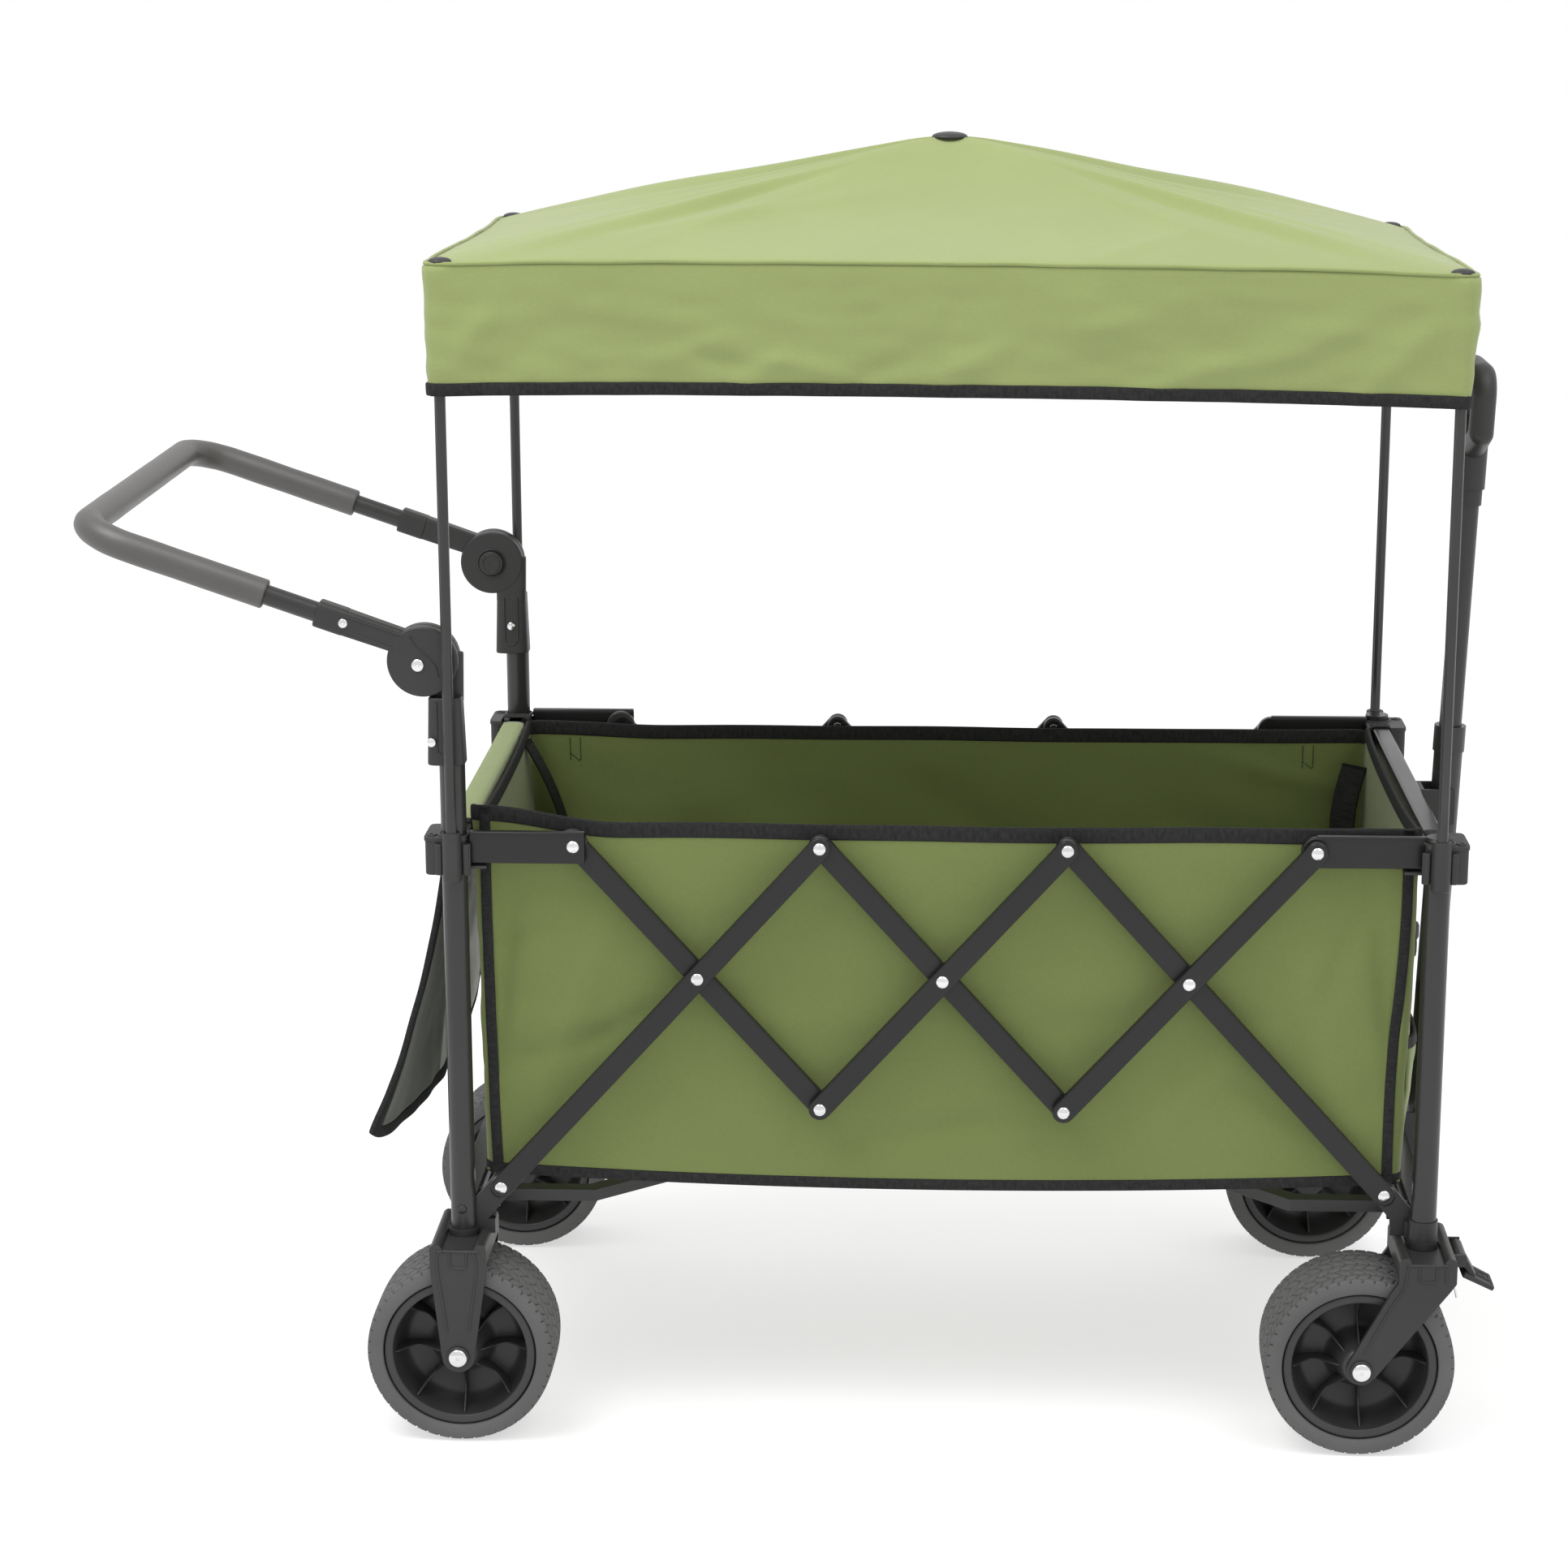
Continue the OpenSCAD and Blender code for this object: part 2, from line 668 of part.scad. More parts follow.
module canopy_cover() color(leaf_green) difference() {
    union() {
        roof(0);
        translate([-canopy_x, -canopy_y, eave_z - valance])
            cube([2 * canopy_x, 2 * canopy_y, valance - 2]);
    }
    roof(3);
    translate([-canopy_x + 3, -canopy_y + 3, eave_z - valance - 1])
        cube([2 * (canopy_x - 3), 2 * (canopy_y - 3), valance - 2]);
}

rear_posts();
rear_crossbar();
rear_feet();
push_hub_bases();
post_button_near();
post_button_far();
foot_button_near();
foot_button_far();
hub_button_near();
hub_button_far();
rear_collars();
rear_rail();
end_flap();
rear_arms();
arm_rivets();
links_a();
links_b();
links_c();
links_d();
links_e();
links_f();
rivets_b();
rivets_d();
rivets_e();
rivets_f();
front_posts();
front_crossbar();
front_feet();
handle_bracket();
front_pockets();
front_collars();
front_rail();
handle_clip();
front_arms();
caster_fork_near();
caster_fork_far();
brake_pedal_near();
brake_pedal_far();
rear_rim_near();
rear_rim_far();
front_rim_near();
front_rim_far();
rear_tyre_near();
rear_tyre_far();
front_tyre_near();
front_tyre_far();
floor_bars_rear();
floor_bars_front();
basket();
push_arms();
push_tube();
push_grip();
pull_outer();
pull_inner();
pull_grip();
canopy_poles_rear();
canopy_poles_front();
canopy_ribs();
canopy_cover();
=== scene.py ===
"""The looks of the folding wagon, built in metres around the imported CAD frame."""

import json
import math

import bpy
import bmesh
from mathutils import Matrix, Vector, noise


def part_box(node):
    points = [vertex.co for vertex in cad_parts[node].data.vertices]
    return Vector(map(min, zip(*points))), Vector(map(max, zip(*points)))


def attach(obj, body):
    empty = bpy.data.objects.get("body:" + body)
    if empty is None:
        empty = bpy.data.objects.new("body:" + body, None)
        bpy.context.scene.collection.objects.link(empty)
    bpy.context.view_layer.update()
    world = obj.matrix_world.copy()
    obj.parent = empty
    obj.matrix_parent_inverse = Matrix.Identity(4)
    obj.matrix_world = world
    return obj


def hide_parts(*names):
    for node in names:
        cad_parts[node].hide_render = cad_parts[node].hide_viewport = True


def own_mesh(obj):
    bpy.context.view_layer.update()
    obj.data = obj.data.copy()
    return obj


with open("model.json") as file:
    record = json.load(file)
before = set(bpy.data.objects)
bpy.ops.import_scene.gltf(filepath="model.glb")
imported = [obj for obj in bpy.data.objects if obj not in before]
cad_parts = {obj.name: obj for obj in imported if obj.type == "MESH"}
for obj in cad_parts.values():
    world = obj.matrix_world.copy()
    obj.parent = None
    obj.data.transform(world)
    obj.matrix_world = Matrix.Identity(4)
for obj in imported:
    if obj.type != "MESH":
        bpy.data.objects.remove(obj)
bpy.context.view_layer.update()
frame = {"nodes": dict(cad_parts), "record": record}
MM = 0.001
TAU = 2 * math.pi
X_AXIS, Y_AXIS, Z_AXIS = Vector((1, 0, 0)), Vector((0, 1, 0)), Vector((0, 0, 1))
SIDES = ((-1, "near"), (1, "far"))
ENDS = ((-1, "rear"), (1, "front"))
CORNERS = [(sx, sy, end, side) for sx, end in ENDS for sy, side in SIDES]


# ---------------------------------------------------------------- measures taken from the frame

def low(node):
    """The low corner of a CAD node's box."""
    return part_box(node)[0]


def high(node):
    """The high corner of a CAD node's box."""
    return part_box(node)[1]


post_x = (low("front_posts").x + high("front_posts").x) / 2
post_y = high("front_posts").y - 12 * MM
pole_y = (high("canopy_poles_front").y + low("canopy_poles_front").y) / 2 + 273 * MM
wheel_r = high("rear_tyre_near").z / 2
tyre_half = (high("rear_tyre_near").y - low("rear_tyre_near").y) / 2
rear_axle_x = (low("rear_tyre_near").x + high("rear_tyre_near").x) / 2
front_axle_x = (low("front_tyre_near").x + high("front_tyre_near").x) / 2
rim_r = (high("rear_rim_near").z - low("rear_rim_near").z) / 2
fork_face = high("rear_feet").y - 4 * MM
hub = (low("hub_button_far") + high("hub_button_far")) / 2
collar_low, collar_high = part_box("rear_collars")
canopy_low, canopy_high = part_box("canopy_cover")
basket_high = high("basket")
flap_low, flap_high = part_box("end_flap")
pocket_low, pocket_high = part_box("front_pockets")
rail_low, rail_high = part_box("front_rail")


# ---------------------------------------------------------------- small mathematics

def mix(a, b, t):
    """From a to b as t goes from 0 to 1."""
    return a + (b - a) * t


def smooth(t):
    """An eased step from 0 to 1 while t goes from 0 to 1."""
    t = min(1.0, max(0.0, t))
    return t * t * (3 - 2 * t)


def ripple(x, y, scale, seed=0.0):
    """Smooth noise between -1 and 1, with features about one over scale wide, in metres."""
    return noise.noise(Vector((x * scale, y * scale, seed)))


def crease(x, y, start, end, width):
    """1 on the line from start to end, falling to 0 over width on each side and at its ends."""
    dx, dy = end[0] - start[0], end[1] - start[1]
    along = ((x - start[0]) * dx + (y - start[1]) * dy) / (dx * dx + dy * dy)
    t = min(1.0, max(0.0, along))
    gone = math.hypot(x - start[0] - t * dx, y - start[1] - t * dy)
    return math.exp(-(gone / width) ** 2) * math.sin(math.pi * min(1, max(0, 0.1 + 0.8 * along)))


def folded(x, y, folds):
    """The sum of several creases; a fold is (height in mm, start, end, width)."""
    return sum(size * MM * crease(x, y, start, end, width) for size, start, end, width in folds)


def in_mm(points):
    """Points given in millimetres, in metres."""
    return [tuple(value * MM for value in point) for point in points]


def rounded_rectangle(t, half_x, half_y, r):
    """(point, outward direction) a share t of the way round, from the middle of the near side."""
    sx, sy, arc = half_x - r, half_y - r, math.pi * r / 2
    runs = [sx, arc, 2 * sy, arc, 2 * sx, arc, 2 * sy, arc, sx]
    left = (t % 1.0) * sum(runs)
    starts = [(0, -1), (1, -1), (1, -1), (1, 1), (1, 1), (-1, 1), (-1, 1), (-1, -1), (-1, -1)]
    for i, run in enumerate(runs):
        if left <= run or i == 8:
            break
        left -= run
    cx, cy = starts[i][0] * sx, starts[i][1] * sy
    turn = math.radians(-90 + 90 * (i // 2))
    if i % 2:
        turn += left / r
        out = Vector((math.cos(turn), math.sin(turn)))
        return Vector((cx, cy)) + out * r, out
    out = Vector((math.cos(turn), math.sin(turn)))
    ahead = Vector((-out.y, out.x))
    return Vector((cx, cy)) + out * r + ahead * left, out


# ---------------------------------------------------------------- mesh builders

def new_object(name, verts, faces, uvs=None, smooth_shade=True):
    """An object from corners and faces; uvs holds one pair for each corner of each face."""
    data = bpy.data.meshes.new(name)
    data.from_pydata([tuple(v) for v in verts], [], faces)
    if uvs:
        layer = data.uv_layers.new(name="cloth")
        for loop, uv in zip(layer.data, uvs):
            loop.uv = uv
    data.polygons.foreach_set("use_smooth", [smooth_shade] * len(data.polygons))
    obj = bpy.data.objects.new(name, data)
    bpy.context.scene.collection.objects.link(obj)
    return obj


def grid(name, point, nu, nv, size, closed=False):
    """A sheet whose corners are point(u, v), with u and v from 0 to 1; size is its cut in metres."""
    cols = nu if closed else nu + 1
    verts = [point(i / nu, j / nv) for j in range(nv + 1) for i in range(cols)]
    faces, uvs = [], []
    for j in range(nv):
        for i in range(nu):
            faces.append((j * cols + i, j * cols + (i + 1) % cols,
                          (j + 1) * cols + (i + 1) % cols, (j + 1) * cols + i))
            u0, u1 = i / nu * size[0], (i + 1) / nu * size[0]
            v0, v1 = j / nv * size[1], (j + 1) / nv * size[1]
            uvs += [(u0, v0), (u1, v0), (u1, v1), (u0, v1)]
    return new_object(name, verts, faces, uvs)


def sweep(name, frames, section, closed=False, length=1.0):
    """Moves a closed section of (side, up) pairs along frames, which are (point, side, up)."""
    n, m = len(frames), len(section)
    verts = [p + s * a + u * b for p, s, u in frames for a, b in section]
    faces, uvs = [], []
    for i in range(n if closed else n - 1):
        k = (i + 1) % n
        for j in range(m):
            l = (j + 1) % m
            faces.append((i * m + j, k * m + j, k * m + l, i * m + l))
            u0, u1, v0, v1 = i / n * length, (i + 1) / n * length, j / m * 0.03, (j + 1) / m * 0.03
            uvs += [(u0, v0), (u1, v0), (u1, v1), (u0, v1)]
    if not closed:
        faces += [tuple(range(m))[::-1], tuple((n - 1) * m + j for j in range(m))]
        uvs += [(0, 0)] * (2 * m)
    return new_object(name, verts, faces, uvs)


def oval(half_a, half_b, count=12, power=3.0):
    """A rounded closed section."""
    pts = []
    for i in range(count):
        a = TAU * (i + 0.5) / count
        c, s = math.cos(a), math.sin(a)
        pts.append((math.copysign(abs(c) ** (2 / power), c) * half_a,
                    math.copysign(abs(s) ** (2 / power), s) * half_b))
    return pts


def tube(name, points, radius, sides=12, closed=False):
    """A round tube along points."""
    frames = []
    n = len(points)
    points = [Vector(p) for p in points]
    up = None
    for i, p in enumerate(points):
        a = points[(i - 1) % n] if closed or i > 0 else p
        b = points[(i + 1) % n] if closed or i < n - 1 else p
        ahead = (b - a).normalized()
        if up is None:
            up = ahead.orthogonal().normalized()
        side = ahead.cross(up).normalized()
        up = side.cross(ahead).normalized()
        frames.append((p, side, up))
    return sweep(name, frames, oval(radius, radius, sides, 2.0), closed, 0.4)


def edge_frames(point, v_edge, v_in, us, closed=False):
    """Frames along a sheet's edge: side runs into the sheet and up is the sheet's normal."""
    out = []
    step = 1e-3
    for u in us:
        p = point(u, v_edge)
        side = (point(u, v_in) - p).normalized()
        ua, ub = (u - step, u + step) if closed else (max(0, u - step), min(1, u + step))
        ahead = (point(ub, v_edge) - point(ua, v_edge)).normalized()
        up = ahead.cross(side).normalized()
        out.append((p, side, up))
    return out


def binding(name, frames, width, thick, closed=False, length=1.0):
    """Tape folded over an edge: it covers width of the sheet and stands a little past its edge."""
    section = [(width / 2 - 1.2 * MM + a, b) for a, b in oval(width / 2, thick / 2, 14, 5.0)]
    return sweep(name, frames, section, closed, length)


def lathe(name, profile, centre, axis="Y", steps=96):
    """A closed profile of (radius, height) points turned about the Y or Z axis through centre."""
    turn = Matrix.Identity(3) if axis == "Z" else Matrix.Rotation(-math.pi / 2, 3, "X")
    frames = []
    for i in range(steps):
        a = TAU * i / steps
        frames.append((Vector(centre), turn @ Vector((math.cos(a), math.sin(a), 0)), turn @ Z_AXIS))
    return sweep(name, frames, profile, True, 0.3)


def loft(name, rings, count=32):
    """A closed body through rings; a ring is (centre, side, up, half along side, half along up, power)."""
    verts, faces = [], []
    for centre, side, up, a, b, power in rings:
        verts += [centre + side * p + up * q for p, q in oval(a, b, count, power)]
    for i in range(len(rings) - 1):
        for j in range(count):
            l = (j + 1) % count
            faces.append((i * count + j, (i + 1) * count + j, (i + 1) * count + l, i * count + l))
    last = (len(rings) - 1) * count
    faces += [tuple(range(count))[::-1], tuple(last + j for j in range(count))]
    return new_object(name, verts, faces)


def block(name, start, end, side, a, b, power=7.0, r=2 * MM, end_a=None, end_b=None):
    """A straight body from start to end, with a rounded section and rounded ends."""
    start, end, side = Vector(start), Vector(end), Vector(side)
    ahead = (end - start).normalized()
    up = ahead.cross(side)
    turns = [math.pi / 2 * k / 5 for k in range(6)]
    rings = []
    for spot, inward, half_a, half_b, order in ((start, ahead, a, b, turns),
                                                (end, -ahead, end_a or a, end_b or b, turns[::-1])):
        for turn in order:
            inset, along = r * (1 - math.sin(turn)), r * (1 - math.cos(turn))
            rings.append((spot + inward * along, side, up, half_a - inset, half_b - inset, power))
    return loft(name, rings, 36)


def soften(obj, bevel, angle=35):
    """Rounds an object's sharp edges and gives it smooth normals, with modifiers only."""
    if bevel:
        weld = obj.modifiers.new("weld", "WELD")
        weld.merge_threshold = 0.02 * MM
        flat = obj.modifiers.new("flat", "DECIMATE")
        flat.decimate_type = "DISSOLVE"
        flat.angle_limit = math.radians(0.6)
        round_off = obj.modifiers.new("bevel", "BEVEL")
        round_off.width = bevel
        round_off.segments = 3
        round_off.limit_method = "ANGLE"
        round_off.angle_limit = math.radians(angle)
    normals = obj.modifiers.new("normals", "WEIGHTED_NORMAL")
    normals.keep_sharp = False
    normals.weight = 80


def thicken(obj, thick):
    """Gives a sheet its thickness, half to each side."""
    solid = obj.modifiers.new("cloth", "SOLIDIFY")
    solid.thickness = thick
    solid.offset = 0


def dome(name, centre, out, r, h):
    """A rivet or bolt head: a low dome on a short cylinder, standing along out."""
    profile = [(0.0, 0.0), (r, 0.0), (r, 0.25 * h)]
    profile += [(r * math.cos(a), 0.25 * h + 0.75 * h * math.sin(a))
                for a in [math.pi / 2 * k / 6 for k in range(1, 6)]] + [(0.0, h)]
    out = Vector(out)
    side = out.orthogonal().normalized()
    across = out.cross(side)
    frames = []
    for i in range(28):
        a = TAU * i / 28
        frames.append((Vector(centre), side * math.cos(a) + across * math.sin(a), out))
    return sweep(name, frames, profile, True, 0.05)


# ---------------------------------------------------------------- materials

WAVE_PER_METRE = 0.31416


class Nodes:
    """A short way to build a node material."""

    def __init__(self, name):
        self.material = bpy.data.materials.new(name)
        self.material.use_nodes = True
        self.tree = self.material.node_tree
        self.shader = self.tree.nodes["Principled BSDF"]

    def add(self, kind, inputs=(), **settings):
        node = self.tree.nodes.new(kind)
        for key, value in settings.items():
            setattr(node, key, value)
        for key, value in dict(inputs).items():
            if hasattr(value, "is_output"):
                self.tree.links.new(value, node.inputs[key])
            else:
                node.inputs[key].default_value = value
        return node

    def link(self, source, target):
        self.tree.links.new(source, target)

    def place(self, uv=False):
        coords = self.add("ShaderNodeTexCoord")
        return coords.outputs["UV" if uv else "Object"]

    def noise(self, vector, scale, detail=3.0):
        return self.add("ShaderNodeTexNoise", {"Vector": vector, "Scale": scale, "Detail": detail}).outputs[0]

    def waves(self, vector, pitch, direction):
        """Even bands, one for each pitch in metres."""
        inputs = {"Vector": vector, "Scale": WAVE_PER_METRE / pitch}
        return self.add("ShaderNodeTexWave", inputs, bands_direction=direction).outputs[1]

    def spread(self, value, low_value, high_value):
        return self.add("ShaderNodeMapRange", {0: value, 3: low_value, 4: high_value}).outputs[0]

    def colours(self, value, a, b):
        ramp = self.add("ShaderNodeValToRGB", {0: value})
        ramp.color_ramp.elements[0].color = (*a, 1)
        ramp.color_ramp.elements[1].color = (*b, 1)
        ramp.color_ramp.elements[0].position = 0.3
        ramp.color_ramp.elements[1].position = 0.7
        return ramp.outputs[0]

    def bump(self, height, strength, distance, normal=None):
        inputs = {"Height": height, "Strength": strength, "Distance": distance}
        if normal:
            inputs["Normal"] = normal
        return self.add("ShaderNodeBump", inputs).outputs[0]

    def add_up(self, a, b, operation="ADD"):
        return self.add("ShaderNodeMath", {0: a, 1: b}, operation=operation).outputs[0]


def grained(name, dark, light, rough, grain, depth, coat=0.0, metallic=0.0, specular=0.5):
    """Paint, plastic or rubber: a fine grain, uneven gloss and a little colour variation."""
    n = Nodes(name)
    place = n.place()
    broad = n.noise(place, 9.0)
    fine = n.noise(place, grain, 2.0)
    tone = n.add_up(broad, n.add_up(fine, 0.35, "MULTIPLY"))
    n.link(n.colours(n.add_up(tone, 0.74, "MULTIPLY"), dark, light), n.shader.inputs["Base Color"])
    n.link(n.spread(broad, rough - 0.06, rough + 0.07), n.shader.inputs["Roughness"])
    n.link(n.bump(fine, 0.35, depth), n.shader.inputs["Normal"])
    n.shader.inputs["Metallic"].default_value = metallic
    n.shader.inputs["Coat Weight"].default_value = coat
    n.shader.inputs["Specular IOR Level"].default_value = specular
    return n.material


def woven(name, dark, light, pitch, crumple, rough=0.78, sheen=0.25):
    """Plain-woven polyester: crossing threads, soft crumpling and a faint mottling."""
    n = Nodes(name)
    uv = n.place(uv=True)
    place = n.place()
    warp, weft = n.waves(uv, pitch, "X"), n.waves(uv, pitch, "Y")
    threads = n.add_up(warp, weft, "MULTIPLY")
    broad = n.noise(place, 7.0, 4.0)
    slub = n.noise(uv, 220.0, 2.0)
    tone = n.add_up(n.add_up(broad, 0.6, "MULTIPLY"), n.add_up(slub, 0.4, "MULTIPLY"))
    n.link(n.colours(tone, dark, light), n.shader.inputs["Base Color"])
    crumpled = n.bump(n.noise(place, 26.0, 3.0), crumple, 6 * MM)
    n.link(n.bump(threads, 0.35, 0.25 * MM, crumpled), n.shader.inputs["Normal"])
    n.link(n.spread(slub, rough - 0.06, rough + 0.08), n.shader.inputs["Roughness"])
    n.shader.inputs["Sheen Weight"].default_value = sheen
    n.shader.inputs["Sheen Roughness"].default_value = 0.5
    n.shader.inputs["Specular IOR Level"].default_value = 0.3
    return n.material


def ribbed(name, dark, light, pitch):
    """Grosgrain tape or webbing: close ribs across the tape."""
    n = Nodes(name)
    uv = n.place(uv=True)
    ribs = n.waves(uv, pitch, "X")
    fuzz = n.noise(uv, 300.0, 2.0)
    n.link(n.colours(fuzz, dark, light), n.shader.inputs["Base Color"])
    n.link(n.bump(n.add_up(ribs, fuzz), 0.4, 0.3 * MM), n.shader.inputs["Normal"])
    n.shader.inputs["Roughness"].default_value = 0.8
    n.shader.inputs["Specular IOR Level"].default_value = 0.2
    return n.material


tube_paint = grained("tube_paint", (.014, .013, .013), (.022, .021, .021), .32, 900, .12 * MM,
                     coat=.08, specular=.46)
link_paint = grained("link_paint", (.007, .007, .007), (.011, .011, .011), .3, 1100, .1 * MM, specular=.36)
pole_paint = grained("pole_paint", (.020, .020, .020), (.032, .031, .031), .3, 900, .08 * MM,
                     coat=.1, specular=.4)
moulded = grained("moulded_plastic", (.019, .018, .018), (.030, .029, .029), .45, 1500, .15 * MM, specular=.4)
rim_plastic = grained("rim_plastic", (.024, .024, .024), (.036, .036, .036), .4, 1300, .12 * MM, specular=.4)
rubber = grained("tyre_rubber", (.082, .080, .080), (.114, .112, .112), .7, 700, .25 * MM, specular=.3)
foam = grained("foam_rubber", (.054, .050, .048), (.076, .071, .068), .42, 1600, .3 * MM, specular=.7)
steel = grained("bright_steel", (.62, .62, .63), (.78, .78, .79), .2, 300, .03 * MM, metallic=1.0)
canopy_cloth = woven("canopy_cloth", (.222, .266, .094), (.250, .297, .107), .9 * MM, .18)
basket_cloth = woven("basket_cloth", (.126, .160, .045), (.148, .185, .054), 1.0 * MM, .22)
flap_cloth = woven("flap_cloth", (.205, .250, .088), (.232, .282, .100), 1.0 * MM, .2)
# The near half of the flap's silvery liner, painted dark green as shade.
liner_painted_shade = woven("liner_painted_shade", (.03, .045, .018), (.042, .060, .024), 1.0 * MM, .25, rough=.6)
silver_cloth = woven("silver_cloth", (.46, .45, .43), (.62, .61, .58), .8 * MM, .5, rough=.35)
binding_tape = ribbed("binding_tape", (.012, .012, .012), (.024, .024, .024), 1.4 * MM)
webbing = ribbed("webbing", (.014, .014, .014), (.028, .028, .027), 2.2 * MM)
net_thread = ribbed("net_thread", (.62, .63, .62), (.8, .8, .79), 1.0 * MM)


def finish_piece(obj, material, body=None, replaces=()):
    """Gives a piece its material and body, and hides what it stands for."""
    obj.data.materials.clear()
    obj.data.materials.append(material)
    if replaces:
        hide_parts(*replaces)
    if body:
        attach(obj, body)
    return obj


def fold_with_frame(obj):
    """Gives a piece of cloth a mesh of its own."""
    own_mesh(obj)


# ---------------------------------------------------------------- canopy

CANOPY_X, CANOPY_Y = canopy_high.x, canopy_high.y
EAVE = canopy_low.z + 123.5 * MM
PEAK = canopy_high.z + 4 * MM
VALANCE = 120 * MM
ROOF_SHARE = 0.72
END_FAN = ((.1, 3.4), (.26, -3.4), (.45, 2.4), (.7, -1.6))
SIDE_FAN = ((.07, 3.6), (.17, -3.0), (.32, 2.0))
ROOF_FOLDS = ((2.2, (-.33, -.24), (-.05, -.1), .012), (2.4, (.13, -.27), (.22, -.2), .010))
NEAR_VALANCE_FOLDS = (
    (4.32, (-.45, .10), (-.40, .03), .012), (-3.51, (-.43, .115), (-.36, .06), .012),
    (2.97, (-.33, .045), (-.21, .055), .010), (3.78, (-.27, .09), (-.19, .065), .010),
    (-3.51, (-.24, .075), (-.17, .095), .008), (3.24, (-.19, .108), (-.14, .08), .009),
    (3.51, (-.16, .085), (-.06, .108), .008), (-3.51, (-.10, .115), (-.02, .075), .009),
    (4.05, (-.03, .112), (.06, .07), .010), (2.97, (.10, .06), (.18, .045), .010),
    (4.32, (.16, .115), (.26, .08), .009), (4.86, (.22, .1), (.40, .045), .013),
    (-4.32, (.30, .09), (.43, .03), .012), (3.51, (.36, .115), (.44, .04), .010))
FAR_VALANCE_FOLDS = ((3.0, (-.3, .11), (-.12, .04), .014), (-2.6, (.05, .11), (.25, .05), .012),
                     (2.6, (.3, .1), (.42, .03), .012))


def eave_height(x, y):
    """The canopy sits a little askew, higher at its rear and near side; the eaves arch between poles."""
    a, b = x / CANOPY_X, y / CANOPY_Y
    arch = 5 * MM * (1 - abs(a) ** 2.5) * smooth(abs(b)) + 2 * MM * (1 - b * b) * smooth(abs(a))
    return EAVE + (-4.5 * a - 3.5 * b) * MM + arch


def roof_height(x, y):
    """The roof: slack between its ribs, with fans of folds that run out to the corners."""
    a, b = abs(x) / CANOPY_X, abs(y) / CANOPY_Y
    m = min(1.0, (a ** 14 + b ** 14) ** (1 / 14)) if max(a, b) > 0 else 0.0
    ridge = min(a, b) / max(a, b, 1e-6)
    rise = (PEAK - eave_height(x, y)) * (1 - m) ** 0.95
    slack = math.sin(math.pi * m)
    sag = 13 * MM * (1 - ridge ** 1.6) * slack * (1 - 0.3 * a)
    billow = 4.2 * MM * ripple(x, y, 5, 3.1) * slack
    folds, width, share = END_FAN if b < a else SIDE_FAN, .05, smooth((a - .15) / .3)
    if b < a:
        width, share = .07, 1.0
    fan = sum(size * MM * math.exp(-((1 - ridge - offset) / width) ** 2) for offset, size in folds)
    blunt = 2 * MM * smooth(1 - m * 12)
    return eave_height(x, y) + rise - sag + billow + fan * slack * share + folded(x, y, ROOF_FOLDS) - blunt


def valance_wave(t, d, x, y):
    """How far the valance stands out at depth d."""
    swing = 2.6 * MM * ripple(t * 3.0, d * 2, 8, 1.7) + 1.6 * MM * ripple(t * 3, d * 3, 22, 5.2)
    swing += .5 * MM * ripple(x + y, d, 60, 8.4)
    swing += folded(x, d, NEAR_VALANCE_FOLDS if y < 0 else FAR_VALANCE_FOLDS)
    return swing * smooth(d / 0.03)


def canopy_point(t, v):
    """A point of the cover: t runs round it, v from the peak to the eave and down the valance."""
    (x, y), out = rounded_rectangle(t, CANOPY_X - 2 * MM, CANOPY_Y - 2 * MM, 16 * MM)
    pull = 14 * MM * (1 - (y / CANOPY_Y) ** 2) * abs(out.x)
    x -= math.copysign(pull, x) * min(1.0, v / ROOF_SHARE)
    if v <= ROOF_SHARE:
        r = v / ROOF_SHARE
        return Vector((x * r, y * r, roof_height(x * r, y * r)))
    d = (v - ROOF_SHARE) / (1 - ROOF_SHARE) * (VALANCE - 3 * MM)
    corner = smooth((abs(x) / CANOPY_X - .93) / .07) * smooth((abs(y) / CANOPY_Y - .9) / .1)
    stand = valance_wave(t, d, x, y) - 5 * MM * (d / VALANCE) + 1.5 * MM * math.sin(math.pi * d / VALANCE)
    stand += corner * (3.4 + 1.2 * math.sin(d * 170) * (1 - d / VALANCE)) * MM
    return Vector((x + out.x * stand, y + out.y * stand, eave_height(x, y) - d))


